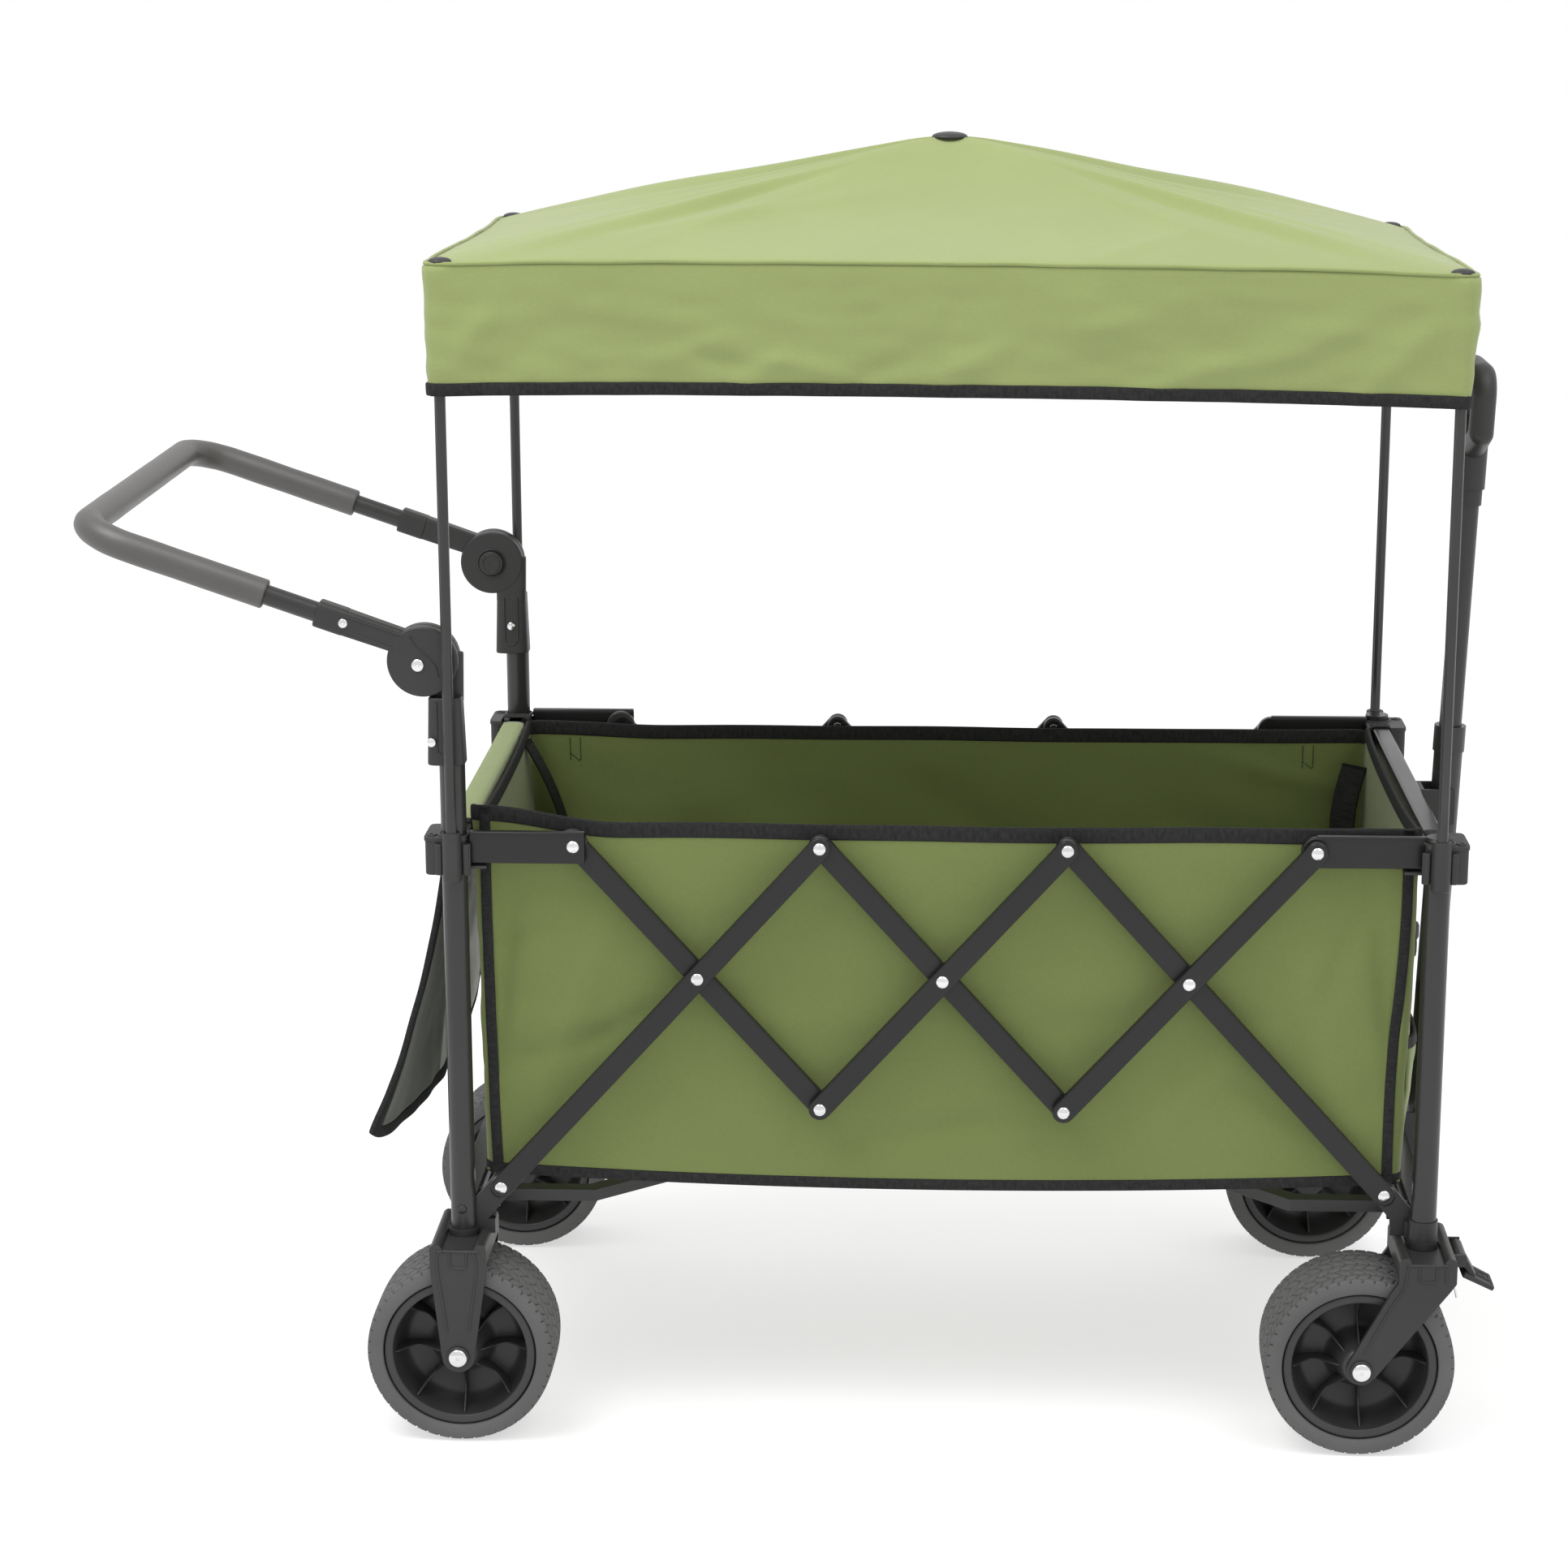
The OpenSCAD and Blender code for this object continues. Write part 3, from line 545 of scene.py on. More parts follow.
def build_canopy():
    """The cover as one continuous sheet, its hem and seam, four ribs, the hub and five caps."""
    cover = grid("canopy_sheet", canopy_point, 420, 84, (3.0, 0.78), closed=True)
    bm = bmesh.new()
    bm.from_mesh(cover.data)
    bmesh.ops.remove_doubles(bm, verts=bm.verts, dist=0.1 * MM)
    bm.to_mesh(cover.data)
    bm.free()
    thicken(cover, 1.0 * MM)
    finish_piece(cover, canopy_cloth, "canopy_rear", ["canopy_cover"])
    us = [i / 360 for i in range(360)]
    lower = edge_frames(canopy_point, 1.0, 0.97, us, True)
    hem = binding("canopy_binding", lower, 12 * MM, 5.2 * MM, True, 3.0)
    finish_piece(hem, binding_tape, "canopy_rear")
    line = []
    for u in us:
        p = canopy_point(u, ROOF_SHARE)
        line.append(p + Z_AXIS * (.6 + 1.1 * ripple(p.x, p.y, 16, 4.4)) * MM)
    seam = tube("canopy_eave_seam", line, 1.9 * MM, 8, closed=True)
    finish_piece(seam, canopy_cloth, "canopy_rear")
    pieces = [cover, hem, seam]
    for sx, sy, place, side in CORNERS:
        path = []
        for k in range(25):
            s = mix(0.03, 1.0, k / 24)
            x, y = sx * (post_x - 1 * MM) * s, sy * (pole_y - 1 * MM) * s
            path.append((x, y, roof_height(x, y) - 7 * MM))
        rib = tube(f"canopy_rib_{place}_{side}", path, 4 * MM, 12)
        pieces.append(finish_piece(rib, pole_paint, "canopy_rear", ["canopy_ribs"]))
        x, y = sx * (post_x - 3 * MM), sy * pole_y
        top = (x, y, roof_height(x, y) + .8 * MM)
        cap = dome(f"canopy_cap_{place}_{side}", top, Z_AXIS, 10.5 * MM, 5 * MM)
        finish_piece(cap, moulded, f"canopy_{place}")
    hub_profile = in_mm([(2, -26), (15, -26), (19, -22), (19, -10), (14, -7), (2, -7)])
    for piece in (lathe("canopy_hub", hub_profile, (0, 0, PEAK - 3 * MM), "Z", 48),
                  dome("canopy_peak_cap", (0, 0, PEAK - 5 * MM), Z_AXIS, 17 * MM, 6 * MM)):
        pieces.append(finish_piece(piece, moulded, "canopy_rear"))
    for piece in pieces:
        fold_with_frame(piece)


# ---------------------------------------------------------------- basket

BOTTOM_X = basket_high.x - 5 * MM
TOP_X = basket_high.x + 3 * MM
WALL_Y = basket_high.y - 1 * MM
END_FOLDS = ((3.8, .40, .08, .31, .8, .02), (-3.4, .43, .2, .40, .9, .012), (2.6, .18, .1, .31, .45, .02))
NEAR_WALL_FOLDS = [(size, (sx * x0, h0), (sx * x1, h1), width)
                   for sx in (-1, 1) for size, x0, h0, x1, h1, width in END_FOLDS]
NEAR_WALL_FOLDS += [
    (-3.2, (-.42, .28), (-.26, .5), .025), (-2.6, (-.43, .62), (-.36, .72), .018),
    (-2.4, (.41, .95), (.33, .3), .014), (-2.2, (.38, .1), (.27, .32), .018),
    (-3.0, (-.12, .1), (.1, .22), .03), (2.4, (.02, .75), (.12, .5), .03)]
FAR_WALL_FOLDS = [
    (3.8, (-.1, .95), (.12, .55), .035), (-3.6, (-.28, .9), (-.1, .5), .05),
    (2.8, (.2, .9), (.36, .45), .04), (-3.0, (.26, .95), (.42, .8), .03)]


def basket_rim(x, y):
    """Height of the hem round the basket's mouth: over the rails' ends at the corners, slack between."""
    far = smooth((y + WALL_Y) / (2 * WALL_Y))
    side = mix(600, 586, far) * MM + 1.6 * MM * ripple(x, y, 7, 9.0)
    corner = mix(616, 590, far) * MM if x < 0 else mix(601, 587, far) * MM
    level = mix(side, corner, smooth((abs(x) - 0.30) / 0.135))
    if abs(y) < WALL_Y - 4 * MM:
        sag = 6 * MM * math.sin(math.pi * (y / WALL_Y + 1) / 2)
        level = mix(level, rail_high.z + 2 * MM - sag, smooth((WALL_Y - 4 * MM - abs(y)) / (24 * MM)))
    return level


def basket_foot(x):
    """Height of the lower hem, which sags in the middle."""
    return mix(242, 254, (abs(x) / BOTTOM_X) ** 2) * MM


def wall_wave(t, h, x, y):
    """How far a wall stands out at height share h."""
    wave = 2.0 * MM * ripple(t * 4, h, 3.2, 2.2) + 1.0 * MM * ripple(t * 4, h, 10, 4.2)
    wave += folded(x, h, NEAR_WALL_FOLDS if y < 0 else FAR_WALL_FOLDS if y > 0 else ())
    wave *= 2.1 if wave < 0 else 1.2
    return wave * math.sin(math.pi * min(1, max(0, h)) ** 0.8)


def basket_point(t, h):
    """A point of the walls: t runs round the basket, h from the foot to the rim."""
    half_x = mix(BOTTOM_X, TOP_X, h)
    (x, y), out = rounded_rectangle(t, half_x, WALL_Y, 9 * MM)
    stand = min(wall_wave(t, h, x, y), 4.5 * MM)
    x -= math.copysign(4 * MM * smooth((h - .5) / .5) * (1 - (y / WALL_Y) ** 4), x) * abs(out.x)
    z = mix(basket_foot(x), basket_rim(x, y), h)
    return Vector((x + out.x * stand, y + out.y * stand, z))


def wall_turn(x, side):
    """The share round the basket of a place x on the near (-1) or far (1) wall."""
    around = 4 * (TOP_X + WALL_Y) - 8 * 9 * MM + TAU * 9 * MM
    if side < 0:
        return (x / around) % 1.0
    return 0.5 - x / around


def build_basket():
    """The four walls as one sheet with bound edges, tapes on the corners, the floor and stitches."""
    walls = grid("basket_walls", basket_point, 420, 60, (2.7, 0.345), closed=True)
    thicken(walls, 1.6 * MM)
    finish_piece(walls, basket_cloth, "rear_frame", ["basket"])
    us = [i / 420 for i in range(420)]
    tapes = []
    for name, edge, inward, width in (("rim", 1.0, .97, 15 * MM), ("foot", 0.0, .03, 11 * MM)):
        frames = edge_frames(basket_point, edge, inward, us, True)
        tapes.append(binding(f"basket_{name}_binding", frames, width, 4 * MM, True, 2.7))
    for sx, sy, place, side in CORNERS:
        u = wall_turn(sx * (BOTTOM_X - 6 * MM), sy)
        frames = []
        for k in range(41):
            h = k / 40
            wobble = u - sy * (-.0012 * math.sin(5.5 * h + .4) if sx > 0 else .0008 * math.sin(3 * h)) * sx
            above, below = basket_point(wobble, min(1, h + .01)), basket_point(wobble, max(0, h - .01))
            ahead, out = (above - below).normalized(), Y_AXIS * sy
            frames.append((basket_point(wobble, h) + out * 1.6 * MM, ahead.cross(out).normalized(), out))
        section = oval(5 * MM, 1.6 * MM, 12, 4)
        tapes.append(sweep(f"corner_binding_{place}_{side}", frames, section, False, .345))
    for tape in tapes:
        finish_piece(tape, binding_tape, "rear_frame")
    for piece in [walls] + tapes + build_floor() + build_stitches():
        fold_with_frame(piece)


def build_floor():
    """The cloth bottom and the padded mat, sewn into four panels that fold up."""
    def bottom(u, v):
        x, y = mix(-BOTTOM_X, BOTTOM_X, u), mix(-WALL_Y, WALL_Y, v)
        return Vector((x, y, basket_foot(x) + 2 * MM))

    sheet = grid("basket_bottom", bottom, 60, 30, (0.87, 0.47))
    thicken(sheet, 1.6 * MM)
    finish_piece(sheet, basket_cloth, "rear_frame")
    out = [sheet]
    count, gap = 4, 4 * MM
    length = (2 * BOTTOM_X - 12 * MM) / count
    for k in range(count):
        middle = -BOTTOM_X + 6 * MM + length * (k + .5)

        def pad(u, v, middle=middle):
            x, y = u * 2 - 1, v * 2 - 1
            crown = (1 - abs(x) ** 6) * (1 - abs(y) ** 10)
            px = middle + x * (length - gap) / 2
            return Vector((px, y * (WALL_Y - 8 * MM), basket_foot(px) + (4.5 + 11 * crown ** .5) * MM))

        mat = grid(f"floor_mat_{k + 1}", pad, 30, 48, (length, .46))
        solid = mat.modifiers.new("pad", "SOLIDIFY")
        solid.thickness = 4 * MM
        solid.offset = -1
        finish_piece(mat, basket_cloth, "rear_frame")
        out.append(mat)
    return out


def build_stitches():
    """Short stitches in crossed lines, where the inner straps are sewn to the far wall."""
    out = []
    for name, x in (("rear", -.395), ("front", .384)):
        u = wall_turn(x, 1)
        marks = []
        lines = [(-.0055, .88, -.0055, .955), (.0055, .88, .0055, .955), (-.0055, .90, .0055, .875)]
        for x0, h0, x1, h1 in lines:
            count = 9 if x0 == x1 else 4
            for k in range(count):
                points = []
                for s in (k / count, (k + .5) / count):
                    p = basket_point(u - mix(x0, x1, s) / 2.7, mix(h0, h1, s))
                    points.append(p - Vector((0, 1.1 * MM, 0)))
                marks.append(tube("stitch", points, .55 * MM, 6))
        line = join(marks[0], marks[1:])
        line.name = f"box_stitch_{name}"
        finish_piece(line, binding_tape, "rear_frame")
        out.append(line)
    return out


# ---------------------------------------------------------------- flap, pockets and straps

def flap_point(u, v):
    """u runs from the near edge to the far edge, v from inside the rail over it and down."""
    y = mix(flap_low.y - 22 * MM, flap_high.y + 12 * MM, u)
    rail_in, rail_out, top = -rail_low.x, -rail_high.x, rail_high.z + 2.2 * MM
    if v < .03:
        s = v / .03
        return Vector((rail_in + 2.5 * MM, y, mix(top - 14 * MM, top - 2 * MM, s)))
    if v < .1:
        s = (v - .03) / .07
        return Vector((mix(rail_in + 2.5 * MM, rail_out - 2.5 * MM, s), y, top - 2 * MM * (2 * s - 1) ** 4))
    s = (v - .1) / .9
    near = 1 - u
    flare = mix(34, 84, near ** 1.5) * MM
    x = rail_out - 3 * MM - flare * s ** mix(1.0, 1.5, near)
    drop = mix(305, 330, near) * MM + 10 * MM * math.sin(math.pi * u)
    x += 5 * MM * ripple(u, s, 3.3, 8.0) * s + 2.4 * MM * ripple(u * 2, s, 6, 3.0) * s
    x -= 6 * MM * math.sin(math.pi * u) * math.sin(math.pi * s) * .6
    corner = 16 * MM * (abs(2 * u - 1) ** 8) * smooth((s - .7) / .3)
    y += (u - .5) * 14 * MM * math.sin(math.pi * s)
    return Vector((x, y * (1 - .05 * s ** 3), top - 4 * MM - drop * s + corner))


def build_flap():
    """The cloth over the rear rail, its liner, a half each: the near half painted dark as shade and the far
    half a silvery facing, and its hems.
    """
    flap = grid("end_flap_sheet", flap_point, 48, 64, (0.38, 0.375))
    thicken(flap, 1.4 * MM)
    finish_piece(flap, flap_cloth, "rear_slide", ["end_flap"])

    # The near half of the liner carries painted shade; the far half is the silvery facing.
    for name, start, end, cloth in (("lining", .03, .5, liner_painted_shade), ("facing", .5, .97, silver_cloth)):
        def inner(u, v, start=start, end=end):
            v, u = mix(.16, .97, v), mix(start, end, u)
            a, b = flap_point(u, v), flap_point(u, min(1, v + .01))
            down = (b - flap_point(u, v - .01)).normalized()
            return a - Y_AXIS.cross(down).normalized() * 2.0 * MM

        lining = grid(f"end_flap_{name}", inner, 30, 56, (.2, 0.32))
        thicken(lining, .8 * MM)
        finish_piece(lining, cloth, "rear_slide")

    def turned(u, v):
        return flap_point(v, mix(.1, 1, u))

    steps = [k / 60 for k in range(61)]
    for name, point, edge, inward, length in (("near", turned, 0.0, .03, .34), ("far", turned, 1.0, .97, .34),
                                              ("foot", flap_point, 1.0, .97, .38)):
        frames = edge_frames(point, edge, inward, steps)
        hem = binding(f"end_flap_binding_{name}", frames, 15 * MM, 6.4 * MM, False, length)
        finish_piece(hem, binding_tape, "rear_slide")


def net(name, x, y0, y1, z0, z1, bulge, cell=6 * MM, wire=.55 * MM):
    """A honeycomb net made of six-sided cells, bulging forwards."""
    verts, faces = [], []
    rows = int((z1 - z0) / (cell * .866))
    cols = int((y1 - y0) / (cell * 1.5))
    spokes = [Vector((0, math.cos(a), math.sin(a))) for a in [math.pi / 3 * k for k in range(6)]]
    for r in range(rows):
        for c in range(cols):
            cy = y0 + cell * (.75 + 1.5 * c)
            cz = z0 + cell * .866 * (r + .5 * (c % 2) + .5)
            centre = Vector((0, cy, cz))
            start = len(verts)
            for radius in (cell, cell - 2 * wire):
                for s in spokes:
                    p = centre + s * radius * .5 * 1.14
                    fy, fz = (p.y - y0) / (y1 - y0), (p.z - z0) / (z1 - z0)
                    belly = math.sin(math.pi * min(1, max(0, fy))) ** .5 * (0.35 + .65 * min(1, max(0, fz)))
                    verts.append(Vector((x + bulge * belly, p.y, p.z)))
            for k in range(6):
                m = (k + 1) % 6
                faces.append((start + k, start + m, start + 6 + m, start + 6 + k))
    obj = new_object(name, verts, faces, [(0, 0)] * (4 * len(faces)))
    thicken(obj, .8 * MM)
    return obj


def build_pockets():
    """The front end's panel with two pouches, a mesh pocket with its elastic and two cord locks."""
    x0 = pocket_low.x + 1 * MM
    y1, z0, z1 = pocket_high.y, pocket_low.z + 14 * MM, pocket_high.z

    def back(u, v):
        x = x0 + 1.5 * MM * ripple(u, v, 4, 6.1)
        return Vector((x + 3 * MM * v, mix(-y1, y1, u), mix(z0, z1, v)))

    panel = grid("pocket_panel", back, 60, 40, (0.34, 0.25))
    thicken(panel, 1.4 * MM)
    finish_piece(panel, basket_cloth, "front_frame", ["front_pockets"])
    for k, (a, b) in enumerate(((-y1 + 8 * MM, -8 * MM), (8 * MM, y1 - 8 * MM))):
        def belly(u, v, a=a, b=b):
            swell = math.sin(math.pi * u) ** .6 * (.25 + .75 * v) * math.sin(math.pi * (.15 + .7 * v)) ** .5
            sag = 6 * MM * math.sin(math.pi * u) * v ** 6
            x = x0 + 4 * MM * v + 1 * MM + 20 * MM * swell + 1.5 * MM * ripple(u + k, v, 5, 2.5)
            return Vector((x, mix(a, b, u), mix(z0 + 6 * MM, z0 + 128 * MM, v) - sag))

        pouch = grid(f"front_pocket_{k + 1}", belly, 40, 30, (0.155, 0.13))
        thicken(pouch, 1.4 * MM)
        finish_piece(pouch, basket_cloth, "front_frame")
        frames = edge_frames(belly, 1.0, .96, [i / 40 for i in range(41)])
        mouth = binding(f"front_pocket_binding_{k + 1}", frames, 11 * MM, 4 * MM, False, .16)
        finish_piece(mouth, binding_tape, "front_frame")
    net_z0, net_z1 = z0 + 132 * MM, z0 + 214 * MM
    pocket_net = net("mesh_pocket", x0 + 5 * MM, -y1 + 6 * MM, y1 - 6 * MM, net_z0, net_z1, 12 * MM)
    finish_piece(pocket_net, net_thread, "front_frame")
    rim = []
    for i in range(41):
        y = mix(-y1 + 4 * MM, y1 - 4 * MM, i / 40)
        belly = math.sin(math.pi * i / 40) ** .5
        rim.append((Vector((x0 + 5 * MM + 12 * MM * belly, y, net_z1 + 2 * MM)), Z_AXIS, X_AXIS))
    elastic = sweep("mesh_pocket_elastic", rim, oval(6 * MM, 1.8 * MM, 12, 4), False, .34)
    finish_piece(elastic, binding_tape, "front_frame")
    lock = in_mm([(.5, -9), (5, -9), (6.5, -6), (6.5, 5), (5, 8), (3, 9), (3, 12), (.5, 12)])
    for sy, side in SIDES:
        knob = lathe(f"cord_lock_{side}", lock, (x0 + 14 * MM, sy * 95 * MM, net_z1 + 4 * MM), "Z", 24)
        finish_piece(knob, moulded, "front_frame")


def rail_loop(name, rail, y, width, body, grow=1.4 * MM):
    """A webbing tab sewn round a top rail."""
    lo, hi = rail
    cx, cz = (lo.x + hi.x) / 2, (lo.z + hi.z) / 2
    hx, hz = (hi.x - lo.x) / 2 + grow, (hi.z - lo.z) / 2 + grow
    frames = []
    for i in range(64):
        (a, b), out = rounded_rectangle(i / 64, hx, hz, 4 * MM)
        frames.append((Vector((cx + a, y, cz + b)), Y_AXIS, Vector((out.x, 0, out.y))))
    tab = sweep(name, frames, oval(width / 2, .9 * MM, 12, 6), True, .1)
    finish_piece(tab, webbing, body)


def build_straps():
    """Webbing tabs round the top rails and two loose straps inside the basket."""
    front, rear = (rail_low, rail_high), (low("rear_rail"), high("rear_rail"))
    for k, y in enumerate((-222 * MM, 222 * MM)):
        rail_loop(f"front_rail_tab_{k + 1}", front, y, 16 * MM, "front_slide")
        rail_loop(f"rear_rail_tab_{k + 1}", rear, y, 16 * MM, "rear_slide", 4.6 * MM)
    rear_wide, front_wide = Vector((.2, .98, 0)).normalized(), Vector((.72, -.69, 0)).normalized()
    for name, x0, x1, y0, y1, z0, z1, wide, width in (
            ("rear", -.438, -.405, .165, .226, .585, .475, rear_wide, 24 * MM),
            ("front", .429, .417, .196, .192, .558, .47, front_wide, 32 * MM)):
        frames = []
        for k in range(21):
            s = k / 20
            sag = 4 * MM * math.sin(math.pi * s)
            p = Vector((mix(x0, x1, s) - sag * (1 if x0 > 0 else -1), mix(y0, y1, s), mix(z0, z1, s)))
            frames.append((p, wide, Vector((wide.y, -wide.x, 0))))
        strap = sweep(f"inner_strap_{name}", frames, oval(width / 2, 1.2 * MM, 12, 5), False, .12)
        finish_piece(strap, webbing, "rear_frame")
        fold_with_frame(strap)


# ---------------------------------------------------------------- wheels

TREAD_LANES = ((.02, .33), (.375, .645), (.69, .93), (.965, 1.3))
TREAD_STEP = 0.012
BLOCKS = 48
BLOCK_SHARES = (0, .055, .085, .25, .415, .445, .5, .555, .585, .75, .915, .945)


def tread(share, across):
    """Height of the tread, 0 in a groove and 1 on a block; share runs 0 to 1 over a block's pitch."""
    a = abs(across)
    for index, (start, end) in enumerate(TREAD_LANES):
        if start <= a <= end:
            phase = (share + .5 * (index % 2)) % 1.0
            return smooth((min(phase, 1 - phase) - .055) / .03) * smooth(min(a - start, end - a) / TREAD_STEP)
    return 0.0


def tread_lean(across):
    """How far the cross grooves have wandered round the tyre, in blocks: a zigzag over the rows."""
    a = abs(across)
    turns = ((0, 0), (.35, .75), (.667, .1), (.947, .55), (2, .55))
    for (a0, b0), (a1, b1) in zip(turns, turns[1:]):
        if a <= a1:
            return mix(b0, b1, (a - a0) / (a1 - a0))
    return turns[-1][1]


def build_tyre_mesh():
    """A tyre about the Y axis: three rows of slanted blocks on each half, smooth flat walls and a bead."""
    half, r, bead = tyre_half, wheel_r, rim_r + 0.6 * MM
    shoulder = 3.2 * MM
    shares = []
    for start, end in TREAD_LANES[:3]:
        shares += [start, start + TREAD_STEP, mix(start, end, .33), mix(start, end, .67)]
        shares += [end - TREAD_STEP, end]
    shares += [TREAD_LANES[3][0], TREAD_LANES[3][0] + TREAD_STEP, 1.0]
    ring = []
    for s in [-a for a in reversed(shares)] + shares:
        ring.append((r - 1.2 * MM * abs(s) ** 4, s * (half - shoulder), s))
    edge = r - 1.2 * MM - shoulder
    walls = []
    for k in range(1, 8):
        turn = math.pi / 2 * k / 7
        walls.append((edge + shoulder * math.cos(turn), half - shoulder + shoulder * math.sin(turn) - .6 * MM,
                      1 + .035 * k))
    for k in range(1, 10):
        s = k / 9
        y = half - .6 * MM + .9 * MM * math.sin(math.pi * s) ** .8
        walls.append((mix(edge, bead + 1.2 * MM, s), y, None))
    walls += [(bead + a * MM, half - b * MM, None) for a, b in ((.4, 1.0), (0, 2.2), (0, 5))]
    ring = [(a, -b, None if c is None else -c) for a, b, c in reversed(walls)] + ring + walls
    ring += [(bead, half * .5, None), (bead, -half * .5, None)]
    steps = BLOCKS * len(BLOCK_SHARES)
    verts, faces, uvs = [], [], []
    m = len(ring)
    for i in range(steps):
        number, place = divmod(i, len(BLOCK_SHARES))
        for radius, y, s in ring:
            sink = 0.0
            a = TAU * (number + BLOCK_SHARES[place] + tread_lean(1.0 if s is None else s)) / BLOCKS
            if s is not None:
                sink = (tread(BLOCK_SHARES[place], s) - 1) * 3 * MM * min(1.0, max(0.0, (1.26 - abs(s)) / .2))
            verts.append(((radius + sink) * math.cos(a), y, (radius + sink) * math.sin(a)))
    for i in range(steps):
        n = (i + 1) % steps
        for j in range(m):
            l = (j + 1) % m
            faces.append((i * m + j, i * m + l, n * m + l, n * m + j))
            uvs += [(0, 0)] * 4
    return new_object("tyre", verts, faces, uvs)


def rib_front(s):
    """Depth of a rib's edge from the rim's middle; s runs from the hub to the barrel."""
    return (33 - 17 * math.sin(math.pi * s ** 1.15) ** 1.4) * MM


def build_rim(name, centre):
    """A deep-dished rim: barrel, lip, web, hub and eight thin ribs on each face."""
    half, lip = tyre_half - 2.2 * MM, rim_r - 9 * MM
    side = [(r0 + r * MM, y0 + y * MM) for r0, y0, points in (
        (rim_r, half, ((0, -3), (-.6, -1), (-2, -.2), (-4.5, 0))),
        (lip, half, ((1.6, -.4), (.4, -1.4), (0, -3), (-1.2, -12))),
        (lip, 0, ((-3, 14), (-7, 5), (-14, 2.5))),
        (0, 0, ((34, 2.5), (27, 7), (22, 20))),
        (0, half, ((19, -4), (17, -.5), (15.5, 1.6), (13, 2.4), (6.2, 2.4)))) for r, y in points]
    profile = side + [(r, -y) for r, y in reversed(side)]
    barrel = lathe(name + "_barrel", profile, centre, "Y", 120)
    ribs = []
    for face in (-1, 1):
        for k in range(8):
            a = TAU * (k + (.5 if face > 0 else 0)) / 8 + .04
            out = Vector((math.cos(a), 0, math.sin(a)))
            around = Vector((-out.z, 0, out.x))
            verts, faces = [], []
            for j in range(17):
                s = j / 16
                spot = Vector(centre) + out * mix(17 * MM, lip - 1 * MM, s)
                front = rib_front(s)
                for width, depth in ((-1.1, 0), (-1.0, front - 1.4 * MM), (-.6, front - .3 * MM), (0, front),
                                     (.6, front - .3 * MM), (1.0, front - 1.4 * MM), (1.1, 0)):
                    verts.append(spot + around * width * MM + Y_AXIS * face * depth)
            for j in range(16):
                for q in range(6):
                    faces.append((j * 7 + q, j * 7 + q + 1, j * 7 + q + 8, j * 7 + q + 7))
            ribs.append(new_object(f"{name}_rib", verts, faces))
    return join(barrel, ribs)


def join(base, others):
    """Joins meshes into one piece."""
    bm = bmesh.new()
    bm.from_mesh(base.data)
    for other in others:
        bm.from_mesh(other.data)
        mesh = other.data
        bpy.data.objects.remove(other)
        bpy.data.meshes.remove(mesh)
    bm.to_mesh(base.data)
    bm.free()
    base.data.polygons.foreach_set("use_smooth", [True] * len(base.data.polygons))
    soften(base, 0)
    return base


def build_wheels():
    """Four wheels, each with its axle bolt, the bolt's seat and the ridges of its fork."""
    pattern = build_tyre_mesh()
    seat_profile = in_mm([(4, -1), (10.6, -1), (10.6, .8), (9.8, 1.4), (4, 1.4)])
    for place, x in (("rear", rear_axle_x), ("front", front_axle_x)):
        for side, name in SIDES:
            tyre = bpy.data.objects.new(f"{place}_tread_{name}", pattern.data.copy())
            bpy.context.scene.collection.objects.link(tyre)
            turn = Matrix.Rotation(math.pi if side > 0 else 0, 4, "Z")
            tyre.data.transform(Matrix.Translation((x, side * post_y, wheel_r)) @ turn)
            body = f"{place}_wheel_{name}"
            finish_piece(tyre, rubber, body, [f"{place}_tyre_{name}"])
            rim = build_rim(f"{place}_wheel_rim_{name}", (x, side * post_y, wheel_r))
            finish_piece(rim, rim_plastic, body, [f"{place}_rim_{name}"])
            fork = "rear_frame" if place == "rear" else f"caster_{name}"
            spot = (x, side * (fork_face + 2.6 * MM), wheel_r)
            bolt = dome(f"{place}_axle_bolt_{name}", spot, Y_AXIS * side, 9 * MM, 4.2 * MM)
            finish_piece(bolt, steel, fork)
            spot = (x, side * (fork_face + (1 if side < 0 else 0) * MM), wheel_r)
            seat = lathe(f"{place}_axle_seat_{name}", seat_profile, spot, "Y", 48)
            finish_piece(seat, moulded, fork)
            build_fork_lines(place, name, side, fork)
    mesh = pattern.data
    bpy.data.objects.remove(pattern)
    bpy.data.meshes.remove(mesh)


FORK_TONGUE = ((-8, -1), (-8, -15), (-6.5, -17.5), (6.5, -17.5), (8, -15), (8, -1))
FORK_LIP = ((-20, -.8), (20, -.8))


def build_fork_lines(place, name, side, body):
    """The pressed ridges on a fork's outer plate: a tongue, the lip and a line along each edge."""
    rear = place == "rear"
    axle = rear_axle_x if rear else front_axle_x
    x0, z0 = -post_x if rear else post_x, 2 * wheel_r + 18 * MM

    def below(points):
        """Places in mm from the middle of the fork's top."""
        return [(x0 + a * MM, z0 + b * MM) for a, b in points]

    if rear:
        left = below([(-13, -1), (-17, -1), (-20, -5), (-20, -18)]) + [(axle - 10 * MM, wheel_r + 26 * MM)]
        right = below([(13, -1), (16, -4), (18, -18)]) + [(axle + 10.5 * MM, wheel_r + 26 * MM)]
    else:
        left = below([(-15, -1), (-19, -3), (-21, -24), (-33, -42)]) + [(axle + 2 * MM, wheel_r + 17 * MM)]
        right = below([(13, -1), (17, -4), (17, -18)])
    ridges = [tube("ridge", [(x, side * fork_face, z) for x, z in ease(points)], 1.3 * MM, 8)
              for points in (below(FORK_TONGUE), left, right, below(FORK_LIP))]
    base = join(ridges[0], ridges[1:])
    base.name = f"{place}_fork_ridges_{name}"
    finish_piece(base, moulded, body)


# ---------------------------------------------------------------- push bar, collars and poles

PUSH_RISE = math.radians(19)
HUB_R = 33 * MM


